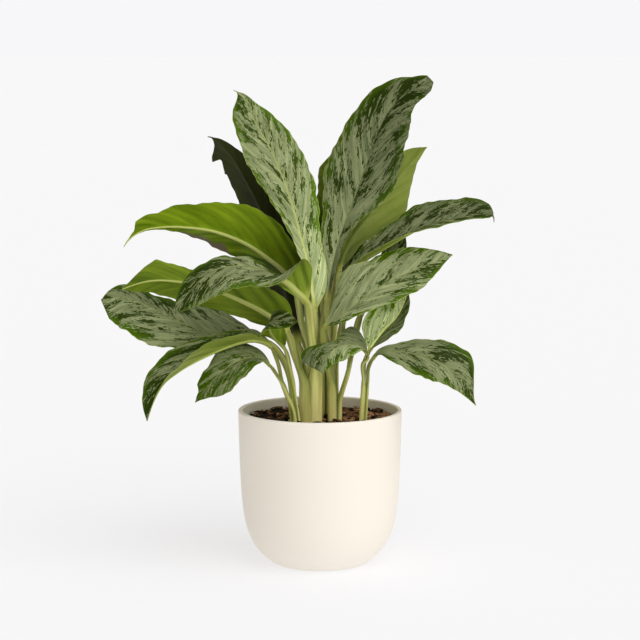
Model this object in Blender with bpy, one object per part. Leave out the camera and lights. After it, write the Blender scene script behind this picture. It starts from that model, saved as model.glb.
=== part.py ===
"""Potted dieffenbachia: a round pot, its soil, and five shoots that carry 23 variegated leaves.

Metres, +Z up, origin at the centre of the pot's foot, front of the plant towards -Y.
Each leaf is a stalk, whose sheath wraps its shoot's cane, and a blade with a raised rib.
Points and sizes in the tables are in millimetres.
"""

import math
from collections import namedtuple

import bmesh
import bpy
from mathutils import Matrix, Vector, noise

MM = 0.001
GAP = 0.3

# Pot, with a straight wall that tapers a little and rounds in to its foot
POT_RIM_RADIUS = 80.0
POT_HEIGHT = 151.0
POT_TAPER = 0.025
POT_WALL = 4.5
POT_FLOOR = 7.0
FOOT_RADIUS = 46.0
FOOT_ROUNDING = 19.7
FOOT_BEVEL = 1.0
LIP_RADIUS = 1.6
POT_SIDES = 40

# Soil, with coarse bark and peat standing up from its surface
SOIL_LEVEL = 140.5
SOIL_CLEARANCE = 0.35
SOIL_SIDES = 36
SOIL_RINGS = 8
CRUMB_HEIGHT = 3.4
CRUMB_SIZE = 8.0
SOIL_SINK = 1.6

# Shoots stand in plain holes in the soil
ROOT_DEPTH = 34.0
HOLE_CLEARANCE = 0.6
HOLE_SIDES = 20

# Leaf stalks and blades
FREE_EDGE = 0.4
FREE_CHANNEL = 11.0
OPENING_OUT = 26.0
PARTING = 14.0
STALK_STATIONS = 10
BLADE_THICKNESS = 0.8
BLADE_STATIONS = 13
RIB_SHARE = 0.85
RIB_TIP = 0.35
MARGIN_WIDTH = 0.35
MIDWAY = 0.52

# core: radius of the cane inside. edge: thickness of the sheaths' edges, as a share of their middle.
Shoot = namedtuple("Shoot", "x y radius core edge lean_x lean_y top")
SHOOTS = {
    "centre_left": Shoot(-7.3, -12, 13.4, 2.5, 0.22, 0.00, 0.00, 212),
    "centre_right": Shoot(14.2, -3, 8.1, 1.1, 0.22, 0.00, 0.00, 205),
    "left": Shoot(-23.5, -26, 5.2, 1.0, 0.6, -0.13, -0.03, 166),
    "right": Shoot(41.5, -16, 4.4, 1.0, 0.7, 0.05, 0.00, 184),
    "back": Shoot(4, 24, 10.2, 1.7, 0.22, 0.00, 0.00, 200),
}

# side: where the sheath lies round its shoot, in degrees from +X. inner: radius of the sheath's
# hollow side. wrap: half the angle that it wraps. leaves_at: height where the stalk parts from the shoot.
Sheath = namedtuple("Sheath", "shoot side inner wrap thick leaves_at")

# stalk: points from the sheath to the blade, half its width and its thickness there.
# blade: points along the rib, from the blade's base to its tip. left, right: width of each half at SHARES of
# the length, seen from above with the tip away. faces: the way the upper side looks at the base, the middle
# and the tip. fold: how far each half rises from the rib, in degrees, at the base and the tip. arch: how far
# it bends down again by its margin. wave: height, number and phase of the waves in the margin.
Leaf = namedtuple("Leaf", "sheath stalk half thick blade left right faces fold arch wave")
SHARES = (0, 0.12, 0.3, 0.5, 0.7, 0.88, 1)

LEAVES = {
    # the two tall leaves that face the front
    "01": Leaf(
        Sheath("centre_left", 30, 2.9, 78, 3.0, 208),
        [(-4, -12, 229)], 3.0, 4.4,
        [(-5, -12, 248), (-10, -4, 287), (-19, 8, 321), (-29, 20, 355), (-47, 32, 400), (-66, 41, 434),
         (-81, 44, 458)],
        (4, 9, 20, 28, 19), (15, 19, 28, 27, 16),
        [(0.25, -1, 0.2), (0.3, -1, 0.35), (0.1, -1, 0.3)], (24, 14), 30, (1.2, 1.5, 0.4),
    ),
    "02": Leaf(
        Sheath("centre_right", 200, 1.5, 72, 2.6, 198),
        [(9, -6, 222)], 3.6, 4.6,
        [(7, -1, 256), (12, 8, 292), (20, 14, 321), (31, 19, 350), (44, 24, 385), (55, 28, 417),
         (71, 30, 445), (91, 28, 461), (110, 26, 468)],
        (9, 22, 37, 30, 20), (4, 9, 33, 27, 14),
        [(-0.2, -1, 0.1), (-0.1, -1, 0.3), (-0.3, -1, 0.5)], (20, 16), 30, (2.2, 2.5, 1.2),
    ),
    # leaves behind them on the right
    "03": Leaf(
        Sheath("back", 318, 6.0, 36, 3.9, 186),
        [(13, 19, 226), (16, 19, 258)], 3.2, 4.2,
        [(18, 21, 284), (31, 29, 316), (51, 38, 342), (71, 44, 367), (89, 48, 388), (105, 50, 404)],
        (10, 18, 32, 22, 6), (9, 14, 18, 20, 15),
        [(-0.3, 1, 0.4), (-0.3, 1, 0.3), (-0.4, 1, 0.4)], (18, 8), 16, (1.5, 1.5, 2.0),
    ),
    "04": Leaf(
        Sheath("back", 244, 6.0, 36, 3.9, 196),
        [(3, 17, 226), (7, 22, 256)], 3.2, 4.4,
        [(13, 32, 288), (17, 43, 325), (18, 47, 357), (16, 49, 381), (12, 49, 398)],
        (10, 18, 22, 18, 9), (10, 18, 22, 20, 14),
        [(-0.1, 1, 0.1), (-0.2, 1, 0.1), (0, 1, 0.2)], (24, 16), 14, (1.5, 1.5, 0.0),
    ),
    "05": Leaf(
        Sheath("centre_right", 20, 1.5, 72, 2.6, 200),
        [(20, -6, 226), (22, -2, 256)], 3.0, 4.2,
        [(28, 3, 285), (41, 8, 296), (60, 11, 307), (83, 15, 320), (99, 17, 328), (122, 19, 334),
         (144, 21, 338), (161, 22, 340), (169, 22, 338)],
        (10, 18, 22, 21, 17), (11, 22, 23, 10, 4),
        [(-0.5, -0.2, 0.9), (-0.3, -0.5, 0.9), (0.1, -0.9, 0.8)], (50, 20), 16, (1.6, 2.0, 0.8),
    ),
    "06": Leaf(
        Sheath("centre_right", 235, 4.5, 60, 3.4, 176),
        [(8, -19, 200), (4, -24, 220)], 3.3, 4.2,
        [(4, -26, 234), (15, -29, 244), (35, -29, 258), (61, -24, 276), (87, -17, 288), (112, -10, 297),
         (128, -5, 303)],
        (14, 37, 33, 31, 18), (9, 15, 25, 24, 9),
        [(-0.4, -1, 0.9), (-0.3, -1, 0.8), (-0.2, -1, 0.9)], (20, 12), 26, (1.4, 1.5, 0.2),
    ),
    # three small leaves of the shoot on the right
    "07": Leaf(
        Sheath("right", 0, 1.3, 55, 2.9, 182),
        [(46, -16, 195)], 2.2, 3.0,
        [(50, -18, 203), (57, -21, 211), (74, -26, 212), (97, -32, 208), (120, -38, 200),
         (137, -42, 186), (149, -44, 162)],
        (5, 14, 25, 28, 6), (8, 19, 24, 18, 8),
        [(-0.6, -0.5, 0.8), (-0.1, -0.9, 1), (0.5, -0.7, 0.6)], (24, 14), 34, (1.2, 1.5, 0.3),
    ),
    "08": Leaf(
        Sheath("right", 120, 1.3, 55, 2.9, 185),
        [(43, -13, 199)], 2.0, 2.8,
        [(48, -12, 211), (54, -9, 219), (62, -5, 229), (75, 0, 242), (82, 4, 255), (86, 8, 267)],
        (14, 22, 23, 19, 10), (9, 15, 17, 13, 6),
        [(-0.6, -0.9, 0.4), (-0.7, -1, 0.2), (-0.5, -1, 0.1)], (34, 20), 10, (1.2, 1.5, 1.0),
    ),
    "09": Leaf(
        Sheath("right", 240, 1.3, 55, 2.9, 183),
        [(42, -21, 198)], 2.1, 2.9,
        [(46, -24, 209), (38, -30, 217), (26, -39, 220), (15, -48, 218), (7, -56, 211), (3, -60, 196)],
        (8, 13, 17, 18, 8), (28, 21, 8, 19, 27),
        [(0.3, -0.3, 1), (0, -0.8, 1), (-0.6, -1, 0.4)], (32, 10), 34, (1.4, 2.0, 1.6),
    ),
    # leaves that reach back and out to the left, their undersides to the front
    "10": Leaf(
        Sheath("centre_left", 100, 6.3, 50, 4.0, 176),
        [(-15, -1, 196)], 3.6, 4.4,
        [(-21, 6, 214), (-26, 14, 238), (-33, 24, 268), (-43, 34, 304), (-57, 42, 341), (-73, 50, 372),
         (-89, 56, 397), (-107, 60, 413)],
        (12, 22, 26, 20, 10), (12, 21, 25, 23, 18),
        [(0.5, 1, 0.1), (0.3, 1, 0.3), (0.3, 1, 0.5)], (22, 20), 14, (2.2, 2.5, 0.0),
    ),
    "11": Leaf(
        Sheath("centre_left", 196, 2.9, 70, 3.0, 214),
        [(-17, -4, 238)], 3.2, 4.4,
        [(-22, 5, 262), (-34, 12, 284), (-51, 14, 298), (-68, 12, 310), (-86, 8, 319), (-107, 4, 326),
         (-126, 0, 329), (-150, -4, 330), (-170, -8, 327), (-185, -12, 317)],
        (22, 37, 34, 23, 12), (14, 21, 18, 6, 2),
        [(0.5, 1, 0.4), (0.1, 1, 0.55), (0, 1, 0.8)], (12, 22), 12, (2.2, 2.5, 2.4),
    ),
    "12": Leaf(
        Sheath("centre_left", 300, 6.3, 84, 4.2, 186),
        [(-8, -24, 214), (-11, -28, 244)], 4.2, 4.8,
        [(-13, -31, 259), (-22, -38, 270), (-32, -47, 281), (-43, -56, 289), (-58, -66, 296),
         (-75, -74, 299), (-92, -80, 298), (-108, -84, 290), (-121, -86, 277), (-135, -86, 256)],
        (28, 24, 24, 30, 18), (5, 9, 12, 15, 12),
        [(-0.6, 0.8, 0.1), (0, -0.9, 0.9), (-0.6, -0.8, 0.5)], (12, 12), 22, (1.6, 2.0, 0.9),
    ),
    "13": Leaf(
        Sheath("centre_left", 200, 10.9, 62, 2.3, 184),
        [(-24, -20, 209)], 4.2, 4.2,
        [(-31, -22, 229), (-42, -25, 241), (-56, -28, 251), (-73, -30, 260), (-88, -32, 267),
         (-110, -34, 275), (-133, -34, 280), (-162, -34, 281), (-189, -33, 273)],
        (24, 22, 17, 22, 14), (16, 22, 28, 22, 14),
        [(0.4, 1, 0.5), (0.1, 1, 0.6), (0, 1, 0.7)], (16, 14), 12, (1.8, 2.0, 0.5),
    ),
    # leaves of the leaning shoot on the left
    "14": Leaf(
        Sheath("left", 86, 1.6, 36, 3.4, 164),
        [(-28, -19, 182), (-36, -17, 204)], 3.2, 4.0,
        [(-46, -16, 217), (-67, -12, 224), (-92, -9, 226), (-111, -8, 229), (-131, -8, 236),
         (-152, -8, 246), (-172, -9, 256), (-192, -11, 262), (-211, -15, 260)],
        (8, 14, 27, 34, 27), (8, 29, 25, 14, 15),
        [(0.1, -0.6, 0.9), (0.2, -1, 0.7), (-0.5, -0.9, 0.4)], (18, 10), 34, (1.8, 1.5, 0.6),
    ),
    "15": Leaf(
        Sheath("left", 174, 1.6, 34, 3.4, 160),
        [(-34, -28, 178), (-40, -31, 204)], 2.4, 3.2,
        [(-46, -33, 217), (-60, -38, 224), (-76, -43, 223), (-92, -48, 218), (-111, -53, 210),
         (-133, -59, 198), (-149, -63, 185), (-158, -66, 169), (-164, -67, 151)],
        (10, 18, 22, 15, 6), (14, 19, 30, 26, 15),
        [(0.3, 0.1, 1), (0, 0, 1), (-0.8, -0.5, 0.5)], (52, 34), 16, (1.2, 1.5, 0.0),
    ),
    "16": Leaf(
        Sheath("left", 268, 1.6, 34, 3.4, 154),
        [(-31, -30, 168), (-38, -34, 187)], 2.2, 3.0,
        [(-47, -38, 200), (-55, -42, 207), (-72, -50, 208), (-89, -58, 200), (-104, -64, 186),
         (-118, -68, 169)],
        (8, 12, 21, 24, 8), (20, 25, 22, 16, 11),
        [(0, -0.3, 1), (-0.2, -0.8, 1), (-0.5, -0.9, 0.8)], (20, 14), 26, (1.4, 2.0, 1.4),
    ),
    "17": Leaf(
        Sheath("left", 351, 1.6, 36, 3.4, 160),
        [(-28, -28, 190)], 2.0, 2.8,
        [(-34, -31, 216), (-40, -37, 223), (-46, -46, 231), (-49, -57, 241), (-45, -68, 247),
         (-35, -77, 248), (-21, -83, 248)],
        (9, 14, 14, 13, 8), (6, 11, 14, 12, 7),
        [(0.6, 0.8, 0.5), (-0.6, -0.5, 0.8), (0.2, -1, 0.3)], (20, 12), 16, (1.0, 1.5, 0.0),
    ),
    "18": Leaf(
        Sheath("centre_right", 338, 4.5, 38, 3.4, 160),
        [(25, -13, 188), (32, -5, 218)], 3.2, 4.0,
        [(39, 4, 243), (50, 10, 262), (63, 14, 285), (75, 17, 305), (83, 20, 321)],
        (9, 14, 16, 13, 6), (10, 16, 18, 14, 8),
        [(-0.7, -0.8, 0.6), (-0.6, -0.9, 0.6), (-0.5, -1, 0.6)], (26, 14), 16, (1.2, 1.5, 2.2),
    ),
    # leaves that fill the back of the plant
    "19": Leaf(
        Sheath("back", 110, 6.0, 34, 3.9, 182),
        [(-2, 40, 212), (-9, 53, 246)], 3.4, 4.4,
        [(-13, 66, 272), (-16, 90, 297), (-27, 117, 303), (-38, 140, 289), (-46, 156, 262)],
        (13, 24, 28, 24, 13), (13, 24, 28, 24, 13),
        [(0.1, -1, 0.5), (0, -0.1, 1), (-0.2, 0.9, 0.7)], (22, 12), 28, (2.0, 2.0, 0.6),
    ),
    "20": Leaf(
        Sheath("back", 36, 6.0, 34, 3.9, 178),
        [(16, 37, 206), (24, 50, 238)], 3.0, 4.2,
        [(32, 64, 260), (48, 88, 279), (64, 110, 281), (76, 128, 271), (84, 140, 252)],
        (11, 21, 24, 20, 11), (11, 21, 24, 20, 11),
        [(-0.6, -0.8, 0.6), (-0.2, -0.2, 1), (0.5, 0.7, 0.8)], (24, 12), 26, (1.8, 1.5, 1.8),
    ),
    "21": Leaf(
        Sheath("back", 176, 6.0, 26, 3.9, 174),
        [(-10, 28, 200), (-22, 42, 230)], 3.0, 4.2,
        [(-34, 56, 250), (-54, 76, 268), (-76, 94, 274), (-95, 109, 268), (-108, 119, 252)],
        (11, 21, 24, 20, 11), (11, 21, 24, 20, 11),
        [(0.7, -0.6, 0.6), (0.2, -0.2, 1), (-0.5, 0.6, 0.8)], (24, 12), 26, (1.8, 2.0, 0.2),
    ),
    "22": Leaf(
        Sheath("back", 30, 2.2, 74, 3.4, 206),
        [(10, 34, 236)], 3.0, 4.2,
        [(14, 45, 264), (24, 70, 304), (36, 94, 332), (49, 115, 344), (62, 134, 342)],
        (12, 22, 25, 21, 12), (12, 22, 25, 21, 12),
        [(-0.3, -1, 0.4), (-0.3, -0.8, 0.7), (-0.1, 0, 1)], (24, 12), 24, (1.8, 2.0, 1.0),
    ),
    "23": Leaf(
        Sheath("back", 185, 2.2, 68, 3.4, 208),
        [(2, 34, 240)], 4.6, 4.2,
        [(2, 47, 274), (-14, 68, 322), (-31, 90, 354), (-45, 108, 370), (-58, 124, 372)],
        (12, 22, 25, 21, 12), (12, 22, 25, 21, 12),
        [(0.3, -1, 0.3), (0.3, -0.8, 0.6), (0.2, 0, 1)], (24, 12), 24, (1.8, 1.5, 0.0),
    ),
}

COLOURS = {
    "pot": ((0.83, 0.78, 0.69), 0.55),
    "soil": ((0.10, 0.06, 0.04), 0.95),
    "stalk": ((0.58, 0.66, 0.34), 0.45),
    "leaf": ((0.14, 0.27, 0.09), 0.4),
}


def smooth(t):
    """0 to 1 with level ends."""
    t = min(1.0, max(0.0, t))
    return t * t * (3 - 2 * t)


def mix(a, b, t):
    return a + (b - a) * t


class Route:
    """A smooth curve through points, measured along its length."""

    STEPS = 14
    REACH = 2.0

    def __init__(self, points):
        knots = [Vector(p) for p in points]
        chords = [(b - a).length for a, b in zip(knots, knots[1:])]
        slopes = self.slopes(knots, chords)
        self.dense, self.knot_at = [knots[0]], [0.0]
        self.lengths = [0.0]
        for i, chord in enumerate(chords):
            for step in range(1, self.STEPS + 1):
                u = step / self.STEPS
                point = self.hermite(knots[i], knots[i + 1], slopes[i] * chord, slopes[i + 1] * chord, u)
                self.lengths.append(self.lengths[-1] + (point - self.dense[-1]).length)
                self.dense.append(point)
            self.knot_at.append(self.lengths[-1])

    @staticmethod
    def slopes(knots, chords):
        inner = []
        for i in range(1, len(chords)):
            before, after = chords[i - 1], chords[i]
            step_in, step_out = knots[i] - knots[i - 1], knots[i + 1] - knots[i]
            inner.append((step_in * (after / before) + step_out * (before / after)) / (before + after))
        first = (knots[1] - knots[0]) / chords[0]
        last = (knots[-1] - knots[-2]) / chords[-1]
        return [first * 1.5 - inner[0] * 0.5, *inner, last * 1.5 - inner[-1] * 0.5]

    @staticmethod
    def hermite(a, b, slope_a, slope_b, u):
        uu, uuu = u * u, u * u * u
        ends = a * (2 * uuu - 3 * uu + 1) + b * (3 * uu - 2 * uuu)
        return ends + slope_a * (uuu - 2 * uu + u) + slope_b * (uuu - uu)

    @property
    def length(self):
        return self.lengths[-1]

    def at(self, distance):
        """The point at a distance along the curve, which runs straight on past its ends."""
        if distance <= 0 or distance >= self.length:
            i = 1 if distance <= 0 else len(self.dense) - 1
        else:
            i = next(n for n, reached in enumerate(self.lengths) if reached >= distance)
        step = self.lengths[i] - self.lengths[i - 1]
        return self.dense[i - 1].lerp(self.dense[i], (distance - self.lengths[i - 1]) / step)

    def along(self, distance):
        return (self.at(distance + self.REACH) - self.at(distance - self.REACH)).normalized()


def shoot_axis(shoot, height):
    """The middle of a shoot at a height: upright in the soil, leaning above it."""
    rise = max(0.0, height - SOIL_LEVEL)
    return Vector((shoot.x + shoot.lean_x * rise, shoot.y + shoot.lean_y * rise, height))


def outward(degrees):
    turn = math.radians(degrees)
    return Vector((math.cos(turn), math.sin(turn), 0))


class LeafForm:
    """Where a leaf's stalk and blade run, and which way they face."""

    def __init__(self, leaf):
        self.leaf = leaf
        sheath = leaf.sheath
        shoot = SHOOTS[sheath.shoot]
        offset = outward(sheath.side) * sheath.inner
        foot = SOIL_LEVEL - ROOT_DEPTH + GAP
        heights = [foot, SOIL_LEVEL - 8, SOIL_LEVEL, sheath.leaves_at - PARTING, sheath.leaves_at]
        points = [shoot_axis(shoot, z) + offset for z in heights]
        points += [Vector(p) for p in leaf.stalk + leaf.blade]
        self.route = Route(points)
        self.parts_at = self.route.knot_at[len(heights) - 1]
        self.blade_at = self.route.knot_at[len(heights) + len(leaf.stalk)]
        self.faces = [-outward(sheath.side), *(Vector(f).normalized() for f in leaf.faces)]

    @property
    def blade_length(self):
        return self.route.length - self.blade_at

    def frame(self, distance):
        """Point, direction along, direction to the side and upper normal, at a distance along the route."""
        origin, along = self.route.at(distance), self.route.along(distance)
        if distance < self.blade_at:
            share = (distance - self.parts_at) / (self.blade_at - self.parts_at)
            face = self.faces[0].lerp(self.faces[1], smooth(share))
        else:
            s = (distance - self.blade_at) / self.blade_length
            first, second = (1, 2) if s < 0.5 else (2, 3)
            face = self.faces[first].lerp(self.faces[second], smooth((s - 0.5 * (first - 1)) * 2))
        upper = (face - along * face.dot(along)).normalized()
        return origin, along, along.cross(upper), upper


def stalk_section(leaf, opened):
    """Outline of a stalk across its run: hollow on the shoot's side, rounded outside.

    opened is 0 where the sheath wraps the shoot and 1 where the stalk is free."""
    sheath = leaf.sheath
    hollow = mix(sheath.inner, FREE_CHANNEL, opened)
    half = mix(sheath.inner * math.radians(sheath.wrap), leaf.half, opened)
    thick = mix(sheath.thick, leaf.thick, opened)
    edge = mix(SHOOTS[sheath.shoot].edge, FREE_EDGE, opened)
    turn = half / hollow
    inside = [(share * turn, 0.0) for share in (1, 0.35, -0.35, -1)]
    outside = []
    for share in (-1, -0.65, 0, 0.65, 1):
        outside.append((share * turn, thick * mix(edge, 1, (1 - share * share) ** 0.7)))
    turned = [(hollow + out, angle) for angle, out in inside + outside]
    return [(reach * math.sin(angle), reach * math.cos(angle) - hollow) for reach, angle in turned]


def loft(bm, rings):
    """Joins closed rings of points with triangles and caps both ends."""
    rows = [[bm.verts.new(p * MM) for p in ring] for ring in rings]
    count = len(rows[0])
    for a, b in zip(rows, rows[1:]):
        for i in range(count):
            j = (i + 1) % count
            bm.faces.new((a[i], a[j], b[j]))
            bm.faces.new((a[i], b[j], b[i]))
    bm.faces.new(rows[0][::-1])
    bm.faces.new(rows[-1])


def stalk_mesh(bm, form):
    leaf, last = form.leaf, form.blade_at - GAP / 2
    rings = []
    for n in range(STALK_STATIONS):
        distance = last * (n / (STALK_STATIONS - 1)) ** 0.85
        opened = smooth((distance - form.parts_at + OPENING_OUT * 0.4) / OPENING_OUT)
        origin, _, side, upper = form.frame(distance)
        rings.append([origin + side * x - upper * y for x, y in stalk_section(leaf, opened)])
    loft(bm, rings)


def half_width(widths, s):
    """Width of one half of a blade at a share of its length, on a smooth curve through its widths."""
    values = [0, *widths, 0]
    slopes = [0.0] * len(values)
    for i in range(1, len(values) - 1):
        slopes[i] = (values[i + 1] - values[i - 1]) / (SHARES[i + 1] - SHARES[i - 1])
    slopes[0] = 2 * values[1] / SHARES[1] - slopes[1]
    slopes[-1] = -2 * values[-2] / (1 - SHARES[-2]) - slopes[-2]
    i = next(n for n in range(1, len(SHARES)) if s <= SHARES[n]) - 1
    reach = SHARES[i + 1] - SHARES[i]
    share = (s - SHARES[i]) / reach
    return Route.hermite(values[i], values[i + 1], slopes[i] * reach, slopes[i + 1] * reach, share)


def rib_half_width(leaf, s):
    return mix(leaf.half * RIB_SHARE, RIB_TIP, s**0.8)


def blade_offset(leaf, s, distance, half, hand):
    """Sideways and upward offset, and slope, at a distance from the rib across one half."""
    fold = math.radians(mix(leaf.fold[0], leaf.fold[1], s))
    turn = math.radians(leaf.arch) / half
    slope = fold - turn * distance
    height, count, phase = leaf.wave
    swing = math.sin(2 * math.pi * count * s + phase + 1.9 * hand) * math.sin(math.pi * s)
    up = (math.cos(slope) - math.cos(fold)) / turn + height * (distance / half) ** 2 * swing
    return (math.sin(fold) - math.sin(slope)) / turn, up, slope


def blade_rows(form):
    """Rows of points across a blade's upper and lower face, margin to margin, from its base to its tip."""
    leaf = form.leaf
    tops, bottoms = [], []
    for n in range(BLADE_STATIONS):
        s = n / (BLADE_STATIONS - 1)
        start = form.blade_at + GAP / 2
        origin, _, side, upper = form.frame(mix(start, form.route.length, s))
        rib = rib_half_width(leaf, s)
        depth = mix(leaf.thick, BLADE_THICKNESS, s**0.7)
        top, bottom = [], []
        for hand, widths in ((-1, leaf.left), (1, leaf.right)):
            half = max(half_width(widths, s), rib + MARGIN_WIDTH)
            for distance in (half, mix(rib, half, MIDWAY), rib):
                across, up, slope = blade_offset(leaf, s, distance, half, hand)
                point = origin + side * hand * across + upper * up
                down = upper * math.cos(slope) - side * hand * math.sin(slope)
                top.append(point)
                bottom.append(point - down * BLADE_THICKNESS)
            if hand < 0:
                top.append(origin)
                bottom.append(origin - upper * depth)
        tops.append(top[:4] + top[:3:-1])
        bottoms.append(bottom[:4] + bottom[:3:-1])
    return tops, bottoms


def blade_mesh(bm, form):
    """A thin blade with a rib that thins out to the tip, split into triangles alike on both faces."""
    tops, bottoms = blade_rows(form)
    upper_rows = [[bm.verts.new(p * MM) for p in row] for row in tops]
    lower_rows = [[bm.verts.new(p * MM) for p in row] for row in bottoms]
    last = len(upper_rows[0]) - 1
    for n in range(BLADE_STATIONS - 1):
        for i in range(last):
            corners = ((n, i), (n, i + 1), (n + 1, i + 1), (n + 1, i))
            triangles = ((0, 1, 2), (0, 2, 3)) if i < last / 2 else ((0, 1, 3), (1, 2, 3))
            for triangle in triangles:
                places = [corners[k] for k in triangle]
                bm.faces.new([upper_rows[r][c] for r, c in places])
                bm.faces.new([lower_rows[r][c] for r, c in reversed(places)])
        for i in (0, last):
            ring = (upper_rows[n][i], upper_rows[n + 1][i], lower_rows[n + 1][i], lower_rows[n][i])
            ring = ring if i == 0 else ring[::-1]
            bm.faces.new((ring[0], ring[1], ring[2]))
            bm.faces.new((ring[0], ring[2], ring[3]))
    bm.faces.new(upper_rows[0][::-1] + lower_rows[0])
    bm.faces.new(upper_rows[-1] + lower_rows[-1][::-1])


def cane_mesh(bm, shoot):
    """The stem inside a shoot's sheaths, from the foot of its hole to a blunt top."""
    sides, radius = 8, shoot.core
    foot = SOIL_LEVEL - ROOT_DEPTH + GAP
    rings = []
    for height, share in ((foot, 1), (SOIL_LEVEL, 1), (shoot.top - 6, 0.9), (shoot.top, 0.35)):
        middle = shoot_axis(shoot, height)
        rings.append([middle + outward(360 * k / sides) * radius * share for k in range(sides)])
    loft(bm, rings)


def pot_outer_radius(height):
    wall = POT_RIM_RADIUS - POT_TAPER * (POT_HEIGHT - height)
    foot_drop = POT_RIM_RADIUS - POT_TAPER * POT_HEIGHT - FOOT_RADIUS
    return wall - foot_drop * math.exp(-height / FOOT_ROUNDING)


def pot_inner_radius(height):
    floor_share = min(1.0, max(0.0, (height - POT_FLOOR) / 8))
    return pot_outer_radius(height) - mix(POT_WALL * 1.8, POT_WALL, floor_share)


def spin(bm, profile, sides):
    """Turns a profile of (radius, height) points, which starts and ends on the axis, round Z."""
    verts = [bm.verts.new(Vector((r, 0, z)) * MM) for r, z in profile]
    edges = [bm.edges.new(pair) for pair in zip(verts, verts[1:])]
    bmesh.ops.spin(
        bm, geom=verts + edges, cent=(0, 0, 0), axis=(0, 0, 1), angle=2 * math.pi, steps=sides, use_merge=True
    )
    bmesh.ops.remove_doubles(bm, verts=bm.verts, dist=1e-6)


def pot_mesh(bm):
    heights = (FOOT_BEVEL, 5, 10, 17, 26, 38, 55, 80, 112, POT_HEIGHT - LIP_RADIUS)
    outer = [(pot_outer_radius(z), z) for z in heights]
    top_outer, top_inner = POT_RIM_RADIUS, POT_RIM_RADIUS - POT_WALL
    shoulder, shoulder_height = LIP_RADIUS * 0.3, POT_HEIGHT - LIP_RADIUS * 0.3
    lip = [(top_outer - shoulder, shoulder_height), (top_outer - LIP_RADIUS, POT_HEIGHT)]
    lip += [(top_inner + LIP_RADIUS, POT_HEIGHT), (top_inner + shoulder, shoulder_height)]
    inner = [(pot_inner_radius(z), z) for z in (POT_HEIGHT - LIP_RADIUS, 90, 55, 34, 21, 13)]
    floor = [(FOOT_RADIUS - POT_WALL, POT_FLOOR), (0, POT_FLOOR)]
    spin(bm, [(0, 0), (FOOT_RADIUS - FOOT_BEVEL, 0), *outer, *lip, *inner, *floor], POT_SIDES)


def crumb_rise(point):
    """How far bark and peat stand up from the level of the soil at a point."""
    coarse = noise.noise(point / (CRUMB_SIZE * 1.7)) + 0.35
    lumps = 1 - 2 * noise.voronoi(point / CRUMB_SIZE)[0][0]
    return CRUMB_HEIGHT * (0.45 * coarse + 0.55 * max(0.0, lumps)) - SOIL_SINK * 0.3


def soil_mesh(bm):
    heights = [POT_FLOOR + GAP, 13, 21, 34, 55, 90, SOIL_LEVEL - SOIL_SINK]
    side = [(pot_inner_radius(z) - SOIL_CLEARANCE, z) for z in heights[1:]]
    bottom = [(0, heights[0]), (FOOT_RADIUS - POT_WALL - 1, heights[0])]
    edge = side[-1][0]
    top = [(edge * (1 - n / SOIL_RINGS), SOIL_LEVEL) for n in range(1, SOIL_RINGS + 1)]
    spin(bm, [*bottom, *side, *top], SOIL_SIDES)
    for vert in bm.verts:
        if vert.co.z > (SOIL_LEVEL - SOIL_SINK / 2) * MM:
            vert.co.z += crumb_rise(vert.co / MM) * MM


def material(name):
    colour, roughness = COLOURS[name]
    made = bpy.data.materials.get(name) or bpy.data.materials.new(name)
    made.use_nodes = True
    surface = made.node_tree.nodes["Principled BSDF"]
    surface.inputs["Base Color"].default_value = (*colour, 1)
    surface.inputs["Roughness"].default_value = roughness
    surface.inputs["Metallic"].default_value = 0
    return made


def add_object(name, kind, build, *details, crease=40):
    """A named object of one closed mesh, with its normals out and its edges smooth up to the crease angle."""
    bm = bmesh.new()
    build(bm, *details)
    bmesh.ops.triangulate(bm, faces=[f for f in bm.faces if len(f.verts) > 4])
    bmesh.ops.recalc_face_normals(bm, faces=bm.faces)
    mesh = bpy.data.meshes.new(name)
    bm.to_mesh(mesh)
    bm.free()
    mesh.shade_smooth()
    mesh.set_sharp_from_angle(angle=math.radians(crease))
    obj = bpy.data.objects.new(name, mesh)
    bpy.context.scene.collection.objects.link(obj)
    mesh.materials.append(material(kind))
    return obj


def hole_cutter(bm, shoot):
    depth = ROOT_DEPTH + 2 * CRUMB_HEIGHT + 2
    middle = Vector((shoot.x, shoot.y, SOIL_LEVEL - ROOT_DEPTH + depth / 2)) * MM
    radius = (shoot.radius + HOLE_CLEARANCE) * MM
    bmesh.ops.create_cone(
        bm, cap_ends=True, segments=HOLE_SIDES, radius1=radius, radius2=radius, depth=depth * MM,
        matrix=Matrix.Translation(middle),
    )


def cut_holes(soil):
    """A plain round hole in the soil for each shoot."""
    for name, shoot in SHOOTS.items():
        cutter = add_object(f"hole_{name}", "soil", hole_cutter, shoot)
        cutter.hide_render = True
        cutter.display_type = "WIRE"
        cut = soil.modifiers.new(f"hole_{name}", "BOOLEAN")
        cut.operation = "DIFFERENCE"
        cut.object = cutter


def build():
    for obj in list(bpy.data.objects):
        bpy.data.objects.remove(obj)
    add_object("pot", "pot", pot_mesh)
    cut_holes(add_object("soil", "soil", soil_mesh))
    for name, shoot in SHOOTS.items():
        add_object(f"cane_{name}", "stalk", cane_mesh, shoot)
    for number, leaf in LEAVES.items():
        form = LeafForm(leaf)
        add_object(f"stalk_{number}", "stalk", stalk_mesh, form)
        add_object(f"leaf_{number}", "leaf", blade_mesh, form)


build()
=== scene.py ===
"""Looks of the potted dieffenbachia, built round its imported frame.

Metres, +Z up. Each leaf, stalk, cane, the soil and the pot is made again with a fine surface that keeps
the form of the solid it stands for. Points and sizes in the tables are in millimetres.
"""

import math
import random
from collections import namedtuple
from functools import cache

import bpy
import numpy as np
from mathutils import Matrix, Vector, noise


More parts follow.
